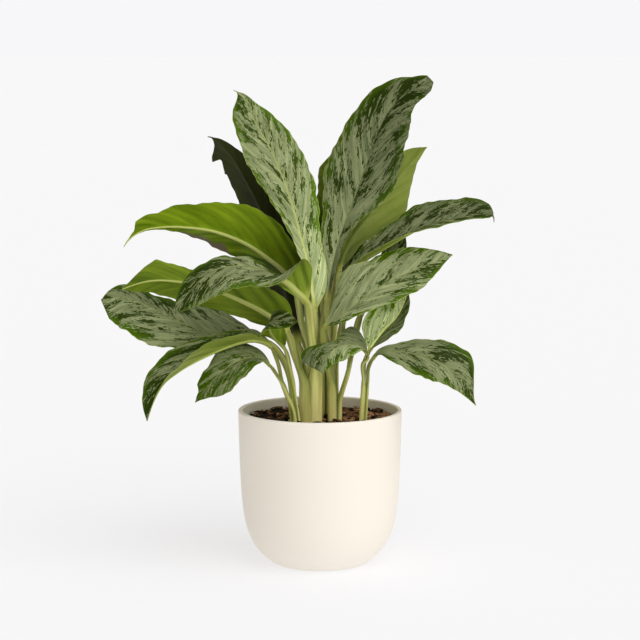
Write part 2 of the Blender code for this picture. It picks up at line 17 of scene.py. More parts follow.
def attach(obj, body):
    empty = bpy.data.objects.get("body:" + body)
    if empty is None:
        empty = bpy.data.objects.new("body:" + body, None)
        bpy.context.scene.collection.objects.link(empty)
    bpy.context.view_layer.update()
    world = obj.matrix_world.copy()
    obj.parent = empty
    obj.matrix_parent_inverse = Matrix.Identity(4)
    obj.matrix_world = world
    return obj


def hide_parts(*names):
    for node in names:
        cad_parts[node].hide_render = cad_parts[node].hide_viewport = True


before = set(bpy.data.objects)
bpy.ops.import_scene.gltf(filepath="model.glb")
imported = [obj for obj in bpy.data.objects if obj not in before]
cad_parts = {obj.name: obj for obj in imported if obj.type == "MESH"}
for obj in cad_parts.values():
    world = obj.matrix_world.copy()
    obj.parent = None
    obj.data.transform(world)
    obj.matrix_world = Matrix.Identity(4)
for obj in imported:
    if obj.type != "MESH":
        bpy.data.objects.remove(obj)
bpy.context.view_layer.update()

MM = 0.001
GAP = 0.3

# Pot: its wall is straight, tapers a little and rounds in to the foot
POT_RIM_RADIUS = 80
POT_HEIGHT = 151
POT_TAPER = 0.025
POT_WALL = 4.5
POT_FLOOR = 7
FLOOR_ROUNDING = 8
FLOOR_WALL_SHARE = 1.8
FOOT_RADIUS = 46
FOOT_ROUNDING = 19.7
FOOT_BEVEL = 1
FOOT_RING = 6
FOOT_HOLLOW = 0.4
LIP_RADIUS = 1.6
POT_SIDES = 144
OUTER_ROWS = 44
INNER_ROWS = 34
INNER_LOWEST = 13

# Soil, with coarse bark and peat standing up from its surface
SOIL_LEVEL = 140.5
SOIL_CLEARANCE = 0.35
CRUMB_HEIGHT = 3.4
CRUMB_SIZE = 8
SOIL_SINK = 1.6
SOIL_ROWS = (13, 21, 34, 55, 90)
SOIL_TINT = 0.25
SOIL_SIDES = 180
SOIL_RINGS = 60
ROOT_DEPTH = 34
SHOOT_FOOT = SOIL_LEVEL - ROOT_DEPTH + GAP
HOLE_CLEARANCE = 0.6

# Size and height of the fine grains on the soil
GRAINS = ((1.7, 0.9), (0.8, 0.5))

# Loose lumps on the soil: how many, their room from the shoots, the range of their tint and their seed.
# The lumps grow paler from left to right: paler than their tint at the right rim, darker at the left.
Litter = namedtuple("Litter", "count room tint seed")
BARK_CHIPS = Litter(620, 1.5, (0, 0.95), 11)
COIR_STRANDS = Litter(170, 3, (0.3, 0.8), 12)
GRIT = Litter(26, 1, (0, 1), 13)
WALL_ROOM = 4
LUMP_SPIN = 6.3
LUMP_TILT = 0.6
LUMP_CREASE = 25
PALER_TO_RIGHT = 0.42
CHIP_SIZES = (2.6, 8)
CHIP_SHARES = ((0.35, 0.6), (0.2, 0.4), (0.12, 0.3))
CHIP_OUTLINE = ((-1, -1), (0, -1.25), (1, -1), (1.2, 0), (1, 1), (0, 1.2), (-1, 1), (-1.25, 0))
CHIP_ROUGHNESS = (0.65, 1.15)
GRIT_SIZES = (1.3, 2.6)
GRIT_HEIGHT = 2.2
CHIP_LIFT = 0.16
GRIT_LIFT = 0.8
STRAND_LIFT = 0.5

# A strand's length, bend, thickness and rise, its steps and the angles of its four corners
STRAND_RANGES = ((7, 20), (-0.9, 0.9), (0.16, 0.42), (0.2, 2.6))
STRAND_STEPS = 9
STRAND_CORNERS = (0, 1.57, 3.14, 4.71)

# Stalks: they open out where they part from their shoots, and narrow where they run in under their blades
BURIED_POINT = 8
FREE_EDGE = 0.4
FREE_CHANNEL = 11
OPENING_OUT = 26
PARTING = 14
NARROWING = 7
NARROWED = 0.94
UNDER_BLADE = 2.5
STALK_ROWS = 56
STALK_RIB_HEIGHT = 0.1
STALK_RIB_PACE = 2.4
INSIDE_POINTS = 12
OUTSIDE_POINTS = 24

# Canes. Their tops hold a drop from the very top and the share of the radius there.
CANE_TOP = ((6, 0.9), (1, 0.6), (0, 0.35))
CANE_SIDES = 32
CANE_AGE = 0.3

# Blades. The columns are shares of the rib's half width, then of the web from the rib to the margin.
BLADE_THICKNESS = 0.8
MARGIN_THICKNESS = 0.45
RIB_SHARE = 0.85
RIB_TIP = 0.35
MARGIN_WIDTH = 0.35
BLADE_ROWS = 120
DRY_TIP_ROWS = 8
TIP_NARROWING = 0.7
RIB_COLUMNS = (0.3, 0.62, 0.86, 1.08)
WEB_COLUMNS = (0.08, 0.17, 0.27, 0.38, 0.49, 0.6, 0.71, 0.81, 0.89, 0.95, 0.985, 1)
VEIN_SPACING = 16
VEIN_SLANT = 1.8
VEIN_CURVE = 0.4
VEIN_DEPTH = 0.42
GROOVE_DEPTH = 0.45
RIPPLE = 0.9

# Height, pace and own phase of the two swings of a margin
MARGIN_SWINGS = ((0.7, 0.235, 5), (0.4, 0.55, 9))

# Pattern: its distance from half to half and from leaf to leaf, the length of a blade where it has its full
# size, and the share of a blade where the stalk's colour fades out
HALVES_APART = 200
LEAVES_APART = 37
PLAIN_LENGTH = 300
FOOT_SHARE = 0.07

# core: radius of the cane inside. edge: thickness of the sheaths' edges, as a share of their middle.
Shoot = namedtuple("Shoot", "x y radius core edge lean_x lean_y top")
SHOOTS = {
    "centre_left": Shoot(-7.3, -12, 13.4, 2.5, 0.22, 0, 0, 212),
    "centre_right": Shoot(14.2, -3, 8.1, 1.1, 0.22, 0, 0, 205),
    "left": Shoot(-23.5, -26, 5.2, 1, 0.6, -0.13, -0.03, 166),
    "right": Shoot(41.5, -16, 4.4, 1, 0.7, 0.05, 0, 184),
    "back": Shoot(4, 24, 10.2, 1.7, 0.22, 0, 0, 200),
}

# Sheath. side: where it lies round its shoot, in degrees from +X. inner: radius of its hollow side.
# wrap: half the angle it wraps. wall: its thickness. leaves_at: height where the stalk leaves the shoot.
# Stalk: points from the sheath to the blade, half its width and its thickness there.
# Blade: points along the rib, from the blade's base to its tip. left, right: width of each half at SHARES of
# the length, seen from above with the tip away. faces: the way the upper side looks at the base, the middle
# and the tip. fold: how far each half rises from the rib, in degrees, at the base and the tip. arch: how far
# it bends down again by its margin, in degrees. wave: height, number and phase of the margin's waves.
Leaf = namedtuple(
    "Leaf", "shoot side inner wrap wall leaves_at stalk half thick blade left right faces fold arch wave"
)
SHARES = (0, 0.12, 0.3, 0.5, 0.7, 0.88, 1)

LEAVES = {
    # the two tall leaves that face the front
    "01": ("centre_left", 30, 2.9, 78, 3, 208, [(-4, -12, 229)], 3, 4.4,
        [(-5, -12, 248), (-10, -4, 287), (-19, 8, 321), (-29, 20, 355), (-47, 32, 400), (-66, 41, 434),
         (-81, 44, 458)], (4, 9, 20, 28, 19), (15, 19, 28, 27, 16),
        [(0.25, -1, 0.2), (0.3, -1, 0.35), (0.1, -1, 0.3)], (24, 14), 30, (1.2, 1.5, 0.4)),
    "02": ("centre_right", 200, 1.5, 72, 2.6, 198, [(9, -6, 222)], 3.6, 4.6,
        [(7, -1, 256), (12, 8, 292), (20, 14, 321), (31, 19, 350), (44, 24, 385), (55, 28, 417),
         (71, 30, 445), (91, 28, 461), (110, 26, 468)], (9, 22, 37, 30, 20), (4, 9, 33, 27, 14),
        [(-0.2, -1, 0.1), (-0.1, -1, 0.3), (-0.3, -1, 0.5)], (20, 16), 30, (2.2, 2.5, 1.2)),
    # leaves behind them on the right
    "03": ("back", 318, 6, 36, 3.9, 186, [(13, 19, 226), (16, 19, 258)], 3.2, 4.2,
        [(18, 21, 284), (31, 29, 316), (51, 38, 342), (71, 44, 367), (89, 48, 388), (105, 50, 404)],
        (10, 18, 32, 22, 6), (9, 14, 18, 20, 15),
        [(-0.3, 1, 0.4), (-0.3, 1, 0.3), (-0.4, 1, 0.4)], (18, 8), 16, (1.5, 1.5, 2)),
    "04": ("back", 244, 6, 36, 3.9, 196, [(3, 17, 226), (7, 22, 256)], 3.2, 4.4,
        [(13, 32, 288), (17, 43, 325), (18, 47, 357), (16, 49, 381), (12, 49, 398)],
        (10, 18, 22, 18, 9), (10, 18, 22, 20, 14),
        [(-0.1, 1, 0.1), (-0.2, 1, 0.1), (0, 1, 0.2)], (24, 16), 14, (1.5, 1.5, 0)),
    "05": ("centre_right", 20, 1.5, 72, 2.6, 200, [(20, -6, 226), (22, -2, 256)], 3, 4.2,
        [(28, 3, 285), (41, 8, 296), (60, 11, 307), (83, 15, 320), (99, 17, 328), (122, 19, 334),
         (144, 21, 338), (161, 22, 340), (169, 22, 338)], (10, 18, 22, 21, 17), (11, 22, 23, 10, 4),
        [(-0.5, -0.2, 0.9), (-0.3, -0.5, 0.9), (0.1, -0.9, 0.8)], (50, 20), 16, (1.6, 2, 0.8)),
    "06": ("centre_right", 235, 4.5, 60, 3.4, 176, [(8, -19, 200), (4, -24, 220)], 3.3, 4.2,
        [(4, -26, 234), (15, -29, 244), (35, -29, 258), (61, -24, 276), (87, -17, 288), (112, -10, 297),
         (128, -5, 303)], (14, 37, 33, 31, 18), (9, 15, 25, 24, 9),
        [(-0.4, -1, 0.9), (-0.3, -1, 0.8), (-0.2, -1, 0.9)], (20, 12), 26, (1.4, 1.5, 0.2)),
    # three small leaves of the shoot on the right
    "07": ("right", 0, 1.3, 55, 2.9, 182, [(46, -16, 195)], 2.2, 3,
        [(50, -18, 203), (57, -21, 211), (74, -26, 212), (97, -32, 208), (120, -38, 200),
         (137, -42, 186), (149, -44, 162)], (5, 14, 25, 28, 6), (8, 19, 24, 18, 8),
        [(-0.6, -0.5, 0.8), (-0.1, -0.9, 1), (0.5, -0.7, 0.6)], (24, 14), 34, (1.2, 1.5, 0.3)),
    "08": ("right", 120, 1.3, 55, 2.9, 185, [(43, -13, 199)], 2, 2.8,
        [(48, -12, 211), (54, -9, 219), (62, -5, 229), (75, 0, 242), (82, 4, 255), (86, 8, 267)],
        (14, 22, 23, 19, 10), (9, 15, 17, 13, 6),
        [(-0.6, -0.9, 0.4), (-0.7, -1, 0.2), (-0.5, -1, 0.1)], (34, 20), 10, (1.2, 1.5, 1)),
    "09": ("right", 240, 1.3, 55, 2.9, 183, [(42, -21, 198)], 2.1, 2.9,
        [(46, -24, 209), (38, -30, 217), (26, -39, 220), (15, -48, 218), (7, -56, 211), (3, -60, 196)],
        (8, 13, 17, 18, 8), (28, 21, 8, 19, 27),
        [(0.3, -0.3, 1), (0, -0.8, 1), (-0.6, -1, 0.4)], (32, 10), 34, (1.4, 2, 1.6)),
    # leaves that reach back and out to the left, their undersides to the front
    "10": ("centre_left", 100, 6.3, 50, 4, 176, [(-15, -1, 196)], 3.6, 4.4,
        [(-21, 6, 214), (-26, 14, 238), (-33, 24, 268), (-43, 34, 304), (-57, 42, 341), (-73, 50, 372),
         (-89, 56, 397), (-107, 60, 413)], (12, 22, 26, 20, 10), (12, 21, 25, 23, 18),
        [(0.5, 1, 0.1), (0.3, 1, 0.3), (0.3, 1, 0.5)], (22, 20), 14, (2.2, 2.5, 0)),
    "11": ("centre_left", 196, 2.9, 70, 3, 214, [(-17, -4, 238)], 3.2, 4.4,
        [(-22, 5, 262), (-34, 12, 284), (-51, 14, 298), (-68, 12, 310), (-86, 8, 319), (-107, 4, 326),
         (-126, 0, 329), (-150, -4, 330), (-170, -8, 327), (-185, -12, 317)],
        (22, 37, 34, 23, 12), (14, 21, 18, 6, 2),
        [(0.5, 1, 0.4), (0.1, 1, 0.55), (0, 1, 0.8)], (12, 22), 12, (2.2, 2.5, 2.4)),
    "12": ("centre_left", 300, 6.3, 84, 4.2, 186, [(-8, -24, 214), (-11, -28, 244)], 4.2, 4.8,
        [(-13, -31, 259), (-22, -38, 270), (-32, -47, 281), (-43, -56, 289), (-58, -66, 296),
         (-75, -74, 299), (-92, -80, 298), (-108, -84, 290), (-121, -86, 277), (-135, -86, 256)],
        (28, 24, 24, 30, 18), (5, 9, 12, 15, 12),
        [(-0.6, 0.8, 0.1), (0, -0.9, 0.9), (-0.6, -0.8, 0.5)], (12, 12), 22, (1.6, 2, 0.9)),
    "13": ("centre_left", 200, 10.9, 62, 2.3, 184, [(-24, -20, 209)], 4.2, 4.2,
        [(-31, -22, 229), (-42, -25, 241), (-56, -28, 251), (-73, -30, 260), (-88, -32, 267),
         (-110, -34, 275), (-133, -34, 280), (-162, -34, 281), (-189, -33, 273)],
        (24, 22, 17, 22, 14), (16, 22, 28, 22, 14),
        [(0.4, 1, 0.5), (0.1, 1, 0.6), (0, 1, 0.7)], (16, 14), 12, (1.8, 2, 0.5)),
    # leaves of the leaning shoot on the left
    "14": ("left", 86, 1.6, 36, 3.4, 164, [(-28, -19, 182), (-36, -17, 204)], 3.2, 4,
        [(-46, -16, 217), (-67, -12, 224), (-92, -9, 226), (-111, -8, 229), (-131, -8, 236),
         (-152, -8, 246), (-172, -9, 256), (-192, -11, 262), (-211, -15, 260)],
        (8, 14, 27, 34, 27), (8, 29, 25, 14, 15),
        [(0.1, -0.6, 0.9), (0.2, -1, 0.7), (-0.5, -0.9, 0.4)], (18, 10), 34, (1.8, 1.5, 0.6)),
    "15": ("left", 174, 1.6, 34, 3.4, 160, [(-34, -28, 178), (-40, -31, 204)], 2.4, 3.2,
        [(-46, -33, 217), (-60, -38, 224), (-76, -43, 223), (-92, -48, 218), (-111, -53, 210),
         (-133, -59, 198), (-149, -63, 185), (-158, -66, 169), (-164, -67, 151)],
        (10, 18, 22, 15, 6), (14, 19, 30, 26, 15),
        [(0.3, 0.1, 1), (0, 0, 1), (-0.8, -0.5, 0.5)], (52, 34), 16, (1.2, 1.5, 0)),
    "16": ("left", 268, 1.6, 34, 3.4, 154, [(-31, -30, 168), (-38, -34, 187)], 2.2, 3,
        [(-47, -38, 200), (-55, -42, 207), (-72, -50, 208), (-89, -58, 200), (-104, -64, 186),
         (-118, -68, 169)], (8, 12, 21, 24, 8), (20, 25, 22, 16, 11),
        [(0, -0.3, 1), (-0.2, -0.8, 1), (-0.5, -0.9, 0.8)], (20, 14), 26, (1.4, 2, 1.4)),
    "17": ("left", 351, 1.6, 36, 3.4, 160, [(-28, -28, 190)], 2, 2.8,
        [(-34, -31, 216), (-40, -37, 223), (-46, -46, 231), (-49, -57, 241), (-45, -68, 247),
         (-35, -77, 248), (-21, -83, 248)], (9, 14, 14, 13, 8), (6, 11, 14, 12, 7),
        [(0.6, 0.8, 0.5), (-0.6, -0.5, 0.8), (0.2, -1, 0.3)], (20, 12), 16, (1, 1.5, 0)),
    "18": ("centre_right", 338, 4.5, 38, 3.4, 160, [(25, -13, 188), (32, -5, 218)], 3.2, 4,
        [(39, 4, 243), (50, 10, 262), (63, 14, 285), (75, 17, 305), (83, 20, 321)],
        (9, 14, 16, 13, 6), (10, 16, 18, 14, 8),
        [(-0.7, -0.8, 0.6), (-0.6, -0.9, 0.6), (-0.5, -1, 0.6)], (26, 14), 16, (1.2, 1.5, 2.2)),
    # leaves that fill the back of the plant
    "19": ("back", 110, 6, 34, 3.9, 182, [(-2, 40, 212), (-9, 53, 246)], 3.4, 4.4,
        [(-13, 66, 272), (-16, 90, 297), (-27, 117, 303), (-38, 140, 289), (-46, 156, 262)],
        *[(13, 24, 28, 24, 13)] * 2,
        [(0.1, -1, 0.5), (0, -0.1, 1), (-0.2, 0.9, 0.7)], (22, 12), 28, (2, 2, 0.6)),
    "20": ("back", 36, 6, 34, 3.9, 178, [(16, 37, 206), (24, 50, 238)], 3, 4.2,
        [(32, 64, 260), (48, 88, 279), (64, 110, 281), (76, 128, 271), (84, 140, 252)],
        *[(11, 21, 24, 20, 11)] * 2,
        [(-0.6, -0.8, 0.6), (-0.2, -0.2, 1), (0.5, 0.7, 0.8)], (24, 12), 26, (1.8, 1.5, 1.8)),
    "21": ("back", 176, 6, 26, 3.9, 174, [(-10, 28, 200), (-22, 42, 230)], 3, 4.2,
        [(-34, 56, 250), (-54, 76, 268), (-76, 94, 274), (-95, 109, 268), (-108, 119, 252)],
        *[(11, 21, 24, 20, 11)] * 2,
        [(0.7, -0.6, 0.6), (0.2, -0.2, 1), (-0.5, 0.6, 0.8)], (24, 12), 26, (1.8, 2, 0.2)),
    "22": ("back", 30, 2.2, 74, 3.4, 206, [(10, 34, 236)], 3, 4.2,
        [(14, 45, 264), (24, 70, 304), (36, 94, 332), (49, 115, 344), (62, 134, 342)],
        *[(12, 22, 25, 21, 12)] * 2,
        [(-0.3, -1, 0.4), (-0.3, -0.8, 0.7), (-0.1, 0, 1)], (24, 12), 24, (1.8, 2, 1)),
    "23": ("back", 185, 2.2, 68, 3.4, 208, [(2, 34, 240)], 4.6, 4.2,
        [(2, 47, 274), (-14, 68, 322), (-31, 90, 354), (-45, 108, 370), (-58, 124, 372)],
        *[(12, 22, 25, 21, 12)] * 2,
        [(0.3, -1, 0.3), (0.3, -0.8, 0.6), (0.2, 0, 1)], (24, 12), 24, (1.8, 1.5, 0)),
}

# silver: how much of the upper side is silver. fresh: how light its green is. lime: how bright and yellow
# the lower side is, its own colour with painted light shining through. left, right: brightness of each half
# of
# the upper side. under: of the lower side. base: brightness at the base beside the rest. These four are
# painted light and shade, laid over each leaf's own tone. rib, keel: how pale the rib is above and below.
Look = namedtuple("Look", "silver fresh lime left right under base rib keel")
LOOKS = {
    "01": (0.58, 0.25, 0.3, 0.96, 1.06, 0.9, 1.75, 0.45, 0.5),
    "02": (0.56, 0, 0.3, 0.62, 0.52, 0.9, 1.8, 0.05, 0.4),
    "03": (0.45, 0, 0, 0.8, 0.8, 1.12, 0.55, 0.3, 0.1),
    "04": (0.45, 0, 0.6, 0.8, 0.8, 0.7, 0.6, 0.3, 0.2),
    "05": (0.48, 0, 0.1, 0.6, 0.8, 1.35, 1, 0.2, 0.15),
    "06": (0.61, 0.15, 0.3, 0.96, 1.06, 0.8, 0.9, 0.1, 0.5),
    "07": (0.46, 0, 0.4, 0.76, 0.91, 0.9, 1, 0.2, 0.5),
    "08": (0.6, 0.6, 0.7, 2.3, 0.85, 0.9, 1, 0.9, 0.5),
    "09": (0.6, 0.4, 0.5, 1.22, 0.74, 0.9, 1, 0.2, 0.5),
    "10": (0.46, 0, 0, 0.6, 0.6, 0.16, 0.6, 0.2, 0.1),
    "11": (0.46, 0, 1, 0.8, 0.8, 1.1, 0.45, 0.3, 1),
    "12": (0.42, 0, 0.6, 0.79, 0.77, 0.9, 1, 0.2, 1),
    "13": (0.46, 0, 0.75, 0.8, 0.8, 0.94, 0.9, 0.4, 1),
    "14": (0.54, 0, 0.4, 0.9, 0.78, 0.9, 0.6, 0.2, 0.6),
    "15": (0.38, 0, 0, 0.8, 0.85, 1.3, 1, 0.3, 0.5),
    "16": (0.47, 0.7, 0.5, 0.8, 0.8, 0.9, 1, 0.3, 0.5),
    "17": (0.34, 0, 0.8, 0.65, 0.65, 0.8, 1, 0.2, 0.5),
    "18": (0.5, 0, 0.2, 0.8, 0.8, 0.9, 1, 0.3, 0.5),
}
PLAIN_LOOK = (0.5, 0, 0.3, 0.8, 0.8, 0.9, 1, 0.3, 0.5)

# How bright a half is at its base, where it lies in the shade between the shoots. -1: left half, 1: right.
SHADED = {("02", 1): 0.26, ("11", -1): 0.45}

# Dry margins: where one starts and ends along its half of the blade
DRY_MARGINS = {("11", 1): (0.34, 0.8)}

# Dry tips: the point that a leaf's rib runs on to, past the end of its blade
TIPS = {"01": (-85, 44, 460), "05": (170, 22, 332), "10": (-111, 61, 414), "11": (-189, -13, 311)}

# Torn, curled or uneven margins: (percent of the length, width) of one half, in place of its smooth widths
# from the first point on. Each goes on to nothing at the tip.
TORN = {
    ("01", -1): [(76, 27), (80, 24.5), (85, 22.5), (90, 19.5), (94, 14.5), (97, 8.5)],
    ("01", 1): [(84, 19.5), (88, 15.5), (94, 7.5), (98, 3)],
    ("02", -1): [(55, 36.9), (62, 34.6), (70, 32), (76, 30), (82, 27), (88, 21), (93, 13), (96.5, 11),
        (98.5, 9)],
    ("02", 1): [(55, 33.8), (62, 34), (68, 32), (74, 30), (79, 27.8), (82, 25.5), (85, 20), (90, 15),
        (95, 12.5), (98.5, 8)],
    ("03", -1): [(30, 18), (36, 24), (42, 30.2), (48, 33.6), (54, 34), (60, 31.2), (66, 27), (74, 20),
        (80, 13.8), (88, 6.2)],
    ("04", 1): [(76, 18.8), (82, 18.6), (87, 18), (90, 16.5), (93, 12.5), (96, 7.5)],
    ("05", -1): [(40, 20.6), (50, 23.5), (56, 26.4), (62, 25), (70, 21.8), (78, 20.2), (86, 20.2),
        (92, 16.5), (97, 11.5)],
    ("05", 1): [(78, 6.8), (86, 6.5), (93, 7), (98, 4.5)],
    ("07", 1): [(40, 22.6), (46, 24.6), (52, 25.8), (60, 24.2), (70, 20.3), (80, 15), (90, 8.4)],
    ("08", 1): [(10, 7.9), (16, 12.4), (22, 15.2), (30, 17.2), (38, 17.8), (46, 17.2), (54, 15.4),
        (62, 12.6), (72, 9.8), (84, 6), (93, 2.9)],
    ("10", 1): [(84, 23), (90.5, 14), (92.5, 27), (95, 22), (97.5, 8)],
    ("11", -1): [(60, 29.1), (64, 28), (70, 25), (77, 22.2), (80, 18.5), (83, 14.5), (88, 14.2),
        (92.5, 11.5), (94.5, 4)],
    ("11", 1): [(35, 21.2), (45, 21.2), (52, 20.6), (60, 18), (67, 13.2), (74, 7), (80, 3.6), (88, 2)],
    ("13", 1): [(50, 28), (66, 26), (80, 21), (90, 13.5), (96, 8)],
    ("13", -1): [(50, 17), (64, 15.5), (74, 18), (80, 22.8), (83, 18.5), (87, 12.8), (92, 7.5)],
    ("14", -1): [(45, 24), (55, 31.2), (64, 35), (70, 34.6), (75, 32.5), (80, 30.5), (86, 31),
        (91, 30.2), (95, 27.5), (98.5, 20.5)],
    ("15", 1): [(30, 19), (40, 23.5), (50, 27.5), (60, 27), (70, 24), (80, 19.5), (88, 14.5), (95, 7)],
    ("16", -1): [(10, 7.1), (20, 14.5), (30, 17.5), (40, 20.5), (50, 24), (60, 25.5), (70, 25.5),
        (77, 22.5), (82, 17.5), (87, 10.5), (94, 4)],
    ("16", 1): [(72, 15.3), (80, 12.6), (85, 10.8), (87.5, 7), (90, 4.4), (95, 2.6)],
}


def smooth(t):
    """0 to 1 with level ends."""
    t = np.clip(t, 0, 1)
    return t * t * (3 - 2 * t)


def mix(a, b, t):
    return a + (b - a) * t


def unit(vectors):
    return vectors / np.linalg.norm(vectors, axis=-1, keepdims=True)


def hermite(a, b, slope_a, slope_b, u):
    ends = a * (2 * u**3 - 3 * u**2 + 1) + b * (3 * u**2 - 2 * u**3)
    return ends + slope_a * (u**3 - 2 * u**2 + u) + slope_b * (u**3 - u**2)


class Route:
    """A smooth curve through points, measured along its length."""

    STEPS = 40
    REACH = 2.0

    def __init__(self, points):
        knots = np.array(points, float)
        steps = np.diff(knots, axis=0)
        chords = np.linalg.norm(steps, axis=1)
        before, after = chords[:-1, None], chords[1:, None]
        inner = (steps[:-1] * (after / before) + steps[1:] * (before / after)) / (before + after)
        first, last = steps[0] / chords[0], steps[-1] / chords[-1]
        slopes = [first * 1.5 - inner[0] * 0.5, *inner, last * 1.5 - inner[-1] * 0.5]
        dense = [knots[:1]]
        for i, chord in enumerate(chords):
            u = np.arange(1, self.STEPS + 1)[:, None] / self.STEPS
            dense.append(hermite(knots[i], knots[i + 1], slopes[i] * chord, slopes[i + 1] * chord, u))
        self.dense = np.concatenate(dense)
        steps = np.linalg.norm(np.diff(self.dense, axis=0), axis=1)
        self.lengths = np.concatenate([[0], np.cumsum(steps)])
        self.knot_at = self.lengths[:: self.STEPS]
        self.length = self.lengths[-1]

    def at(self, distance):
        """Points at distances along the curve, which runs straight on past its ends."""
        points = np.stack([np.interp(distance, self.lengths, self.dense[:, k]) for k in range(3)], -1)
        beyond = distance - np.clip(distance, 0, self.length)
        first, last = unit(self.dense[1] - self.dense[0]), unit(self.dense[-1] - self.dense[-2])
        return points + np.where(beyond[..., None] < 0, first, last) * beyond[..., None]

    def along(self, distance):
        return unit(self.at(distance + self.REACH) - self.at(distance - self.REACH))


def shoot_axis(shoot, height):
    """The middle of a shoot at a height: upright in the soil, leaning above it."""
    rise = max(0.0, height - SOIL_LEVEL)
    return np.array((shoot.x + shoot.lean_x * rise, shoot.y + shoot.lean_y * rise, height))


def outward(degrees):
    turn = math.radians(degrees)
    return np.array((math.cos(turn), math.sin(turn), 0.0))


class LeafForm:
    """Where a leaf's stalk and blade run, and which way they face."""

    def __init__(self, number, leaf):
        self.number, self.leaf, self.seed = number, leaf, float(number)
        offset = outward(leaf.side) * leaf.inner
        heights = [SHOOT_FOOT, SOIL_LEVEL - BURIED_POINT, SOIL_LEVEL]
        heights += [leaf.leaves_at - PARTING, leaf.leaves_at]
        points = [shoot_axis(SHOOTS[leaf.shoot], z) + offset for z in heights] + leaf.stalk + leaf.blade
        self.route = Route(points + ([TIPS[number]] if number in TIPS else []))
        knot_at = self.route.knot_at
        self.parts_at = knot_at[len(heights) - 1]
        self.blade_at = knot_at[len(heights) + len(leaf.stalk)]
        self.blade_length = knot_at[len(points) - 1] - self.blade_at
        self.fineness = math.sqrt(PLAIN_LENGTH / self.blade_length)
        self.reach = (self.route.length - self.blade_at) / self.blade_length
        self.faces = unit(np.array([-outward(leaf.side), *leaf.faces]))

    def places(self, s):
        """Distances along the route of shares of the blade's length."""
        return self.blade_at + GAP / 2 + s * (self.blade_length - GAP / 2)

    def pattern(self, along, across):
        """Where the leaf reads its pattern, which is finer on a shorter leaf."""
        return np.stack(np.broadcast_arrays(along, across, self.seed * LEAVES_APART), -1) * self.fineness

    def rib(self, s):
        """Half the rib's width and its depth at shares of the blade's length."""
        half = mix(self.leaf.half * RIB_SHARE, RIB_TIP, s**0.8)
        return half, mix(self.leaf.thick, BLADE_THICKNESS, s**0.7)

    def frames(self, distance):
        """Points, directions to the side and upper normals, at distances along the route."""
        share = smooth((distance - self.parts_at) / (self.blade_at - self.parts_at))[:, None]
        s = (distance - self.blade_at) / self.blade_length
        first, second = smooth(s * 2)[:, None], smooth(s * 2 - 1)[:, None]
        base, start, middle, end = self.faces
        face = mix(base, start, share) + (middle - start) * first + (end - middle) * second
        along = self.route.along(distance)
        upper = unit(face - along * (face * along).sum(-1, keepdims=True))
        return self.route.at(distance), np.cross(along, upper), upper


def add_object(name, data):
    made = bpy.data.objects.new(name, data)
    bpy.context.scene.collection.objects.link(made)
    return made


def make_mesh(name, points, faces, material):
    """A mesh from points in millimetres."""
    mesh = bpy.data.meshes.new(name)
    mesh.from_pydata((np.asarray(points) * MM).tolist(), [], faces)
    mesh.materials.append(material)
    return mesh


def add_piece(node, points, faces, attributes, slot, name=None, crease=60):
    """A piece of the plant that stands for one solid and rides on the frame."""
    name = name or f"{node}_fine"
    mesh = make_mesh(name, points, faces, MATERIALS[slot]())
    for key, values in attributes.items():
        values = np.asarray(values, np.float32)
        kind, field = ("FLOAT_VECTOR", "vector") if values.ndim == 2 else ("FLOAT", "value")
        mesh.attributes.new(key, kind, "POINT").data.foreach_set(field, values.ravel())
    mesh.shade_smooth()
    mesh.set_sharp_from_angle(angle=math.radians(crease))
    piece = add_object(name, mesh)
    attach(piece, "root")
    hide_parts(node)


def quads(pairs):
    """The faces between each pair of lines of points."""
    return [quad for a, b in pairs for quad in zip(a[:-1], a[1:], b[1:], b[:-1])]


def tube_faces(rings, points):
    """Quads that join closed rings of points, with a cap on both ends."""
    lines = [[*range(r * points, (r + 1) * points), r * points] for r in range(rings)]
    return quads(zip(lines, lines[1:])) + [lines[0][-2::-1], lines[-1][:-1]]


def slab_faces(rows, columns):
    """Quads of a thin closed slab: the upper face, the lower face after it, and the four edges."""
    upper = np.arange(rows * columns).reshape(rows, columns)
    lower = upper + upper.size
    edges = [(upper[:, 0], lower[:, 0]), (lower[:, -1], upper[:, -1]), (lower[0], upper[0])]
    pairs = [*zip(upper, upper[1:]), *zip(lower[1:], lower), *edges, (upper[-1], lower[-1])]
    return quads((a.tolist(), b.tolist()) for a, b in pairs)


def stalk_section(leaf, opened, distance):
    """Outline of a stalk across its run, hollow on the shoot's side and finely ribbed outside.

    opened is 0 where the sheath wraps the shoot and 1 where the stalk is free."""
    hollow = mix(leaf.inner, FREE_CHANNEL, opened)
    half = mix(leaf.inner * math.radians(leaf.wrap), leaf.half, opened)
    thick = mix(leaf.wall, leaf.thick, opened)
    edge = mix(SHOOTS[leaf.shoot].edge, FREE_EDGE, opened)
    inside = np.linspace(-1, 1, INSIDE_POINTS)
    outside = np.linspace(1, -1, OUTSIDE_POINTS)
    body = thick * mix(edge, 1, (1 - outside**2) ** 0.7)
    ribs = STALK_RIB_HEIGHT * np.sin(outside * half * STALK_RIB_PACE + 0.02 * distance) * (1 - outside**2)
    turned = np.concatenate([inside, outside]) * half / hollow
    reach = hollow + np.concatenate([np.zeros(len(inside)), body + ribs])
    return reach * np.sin(turned), reach * np.cos(turned) - hollow, turned * hollow


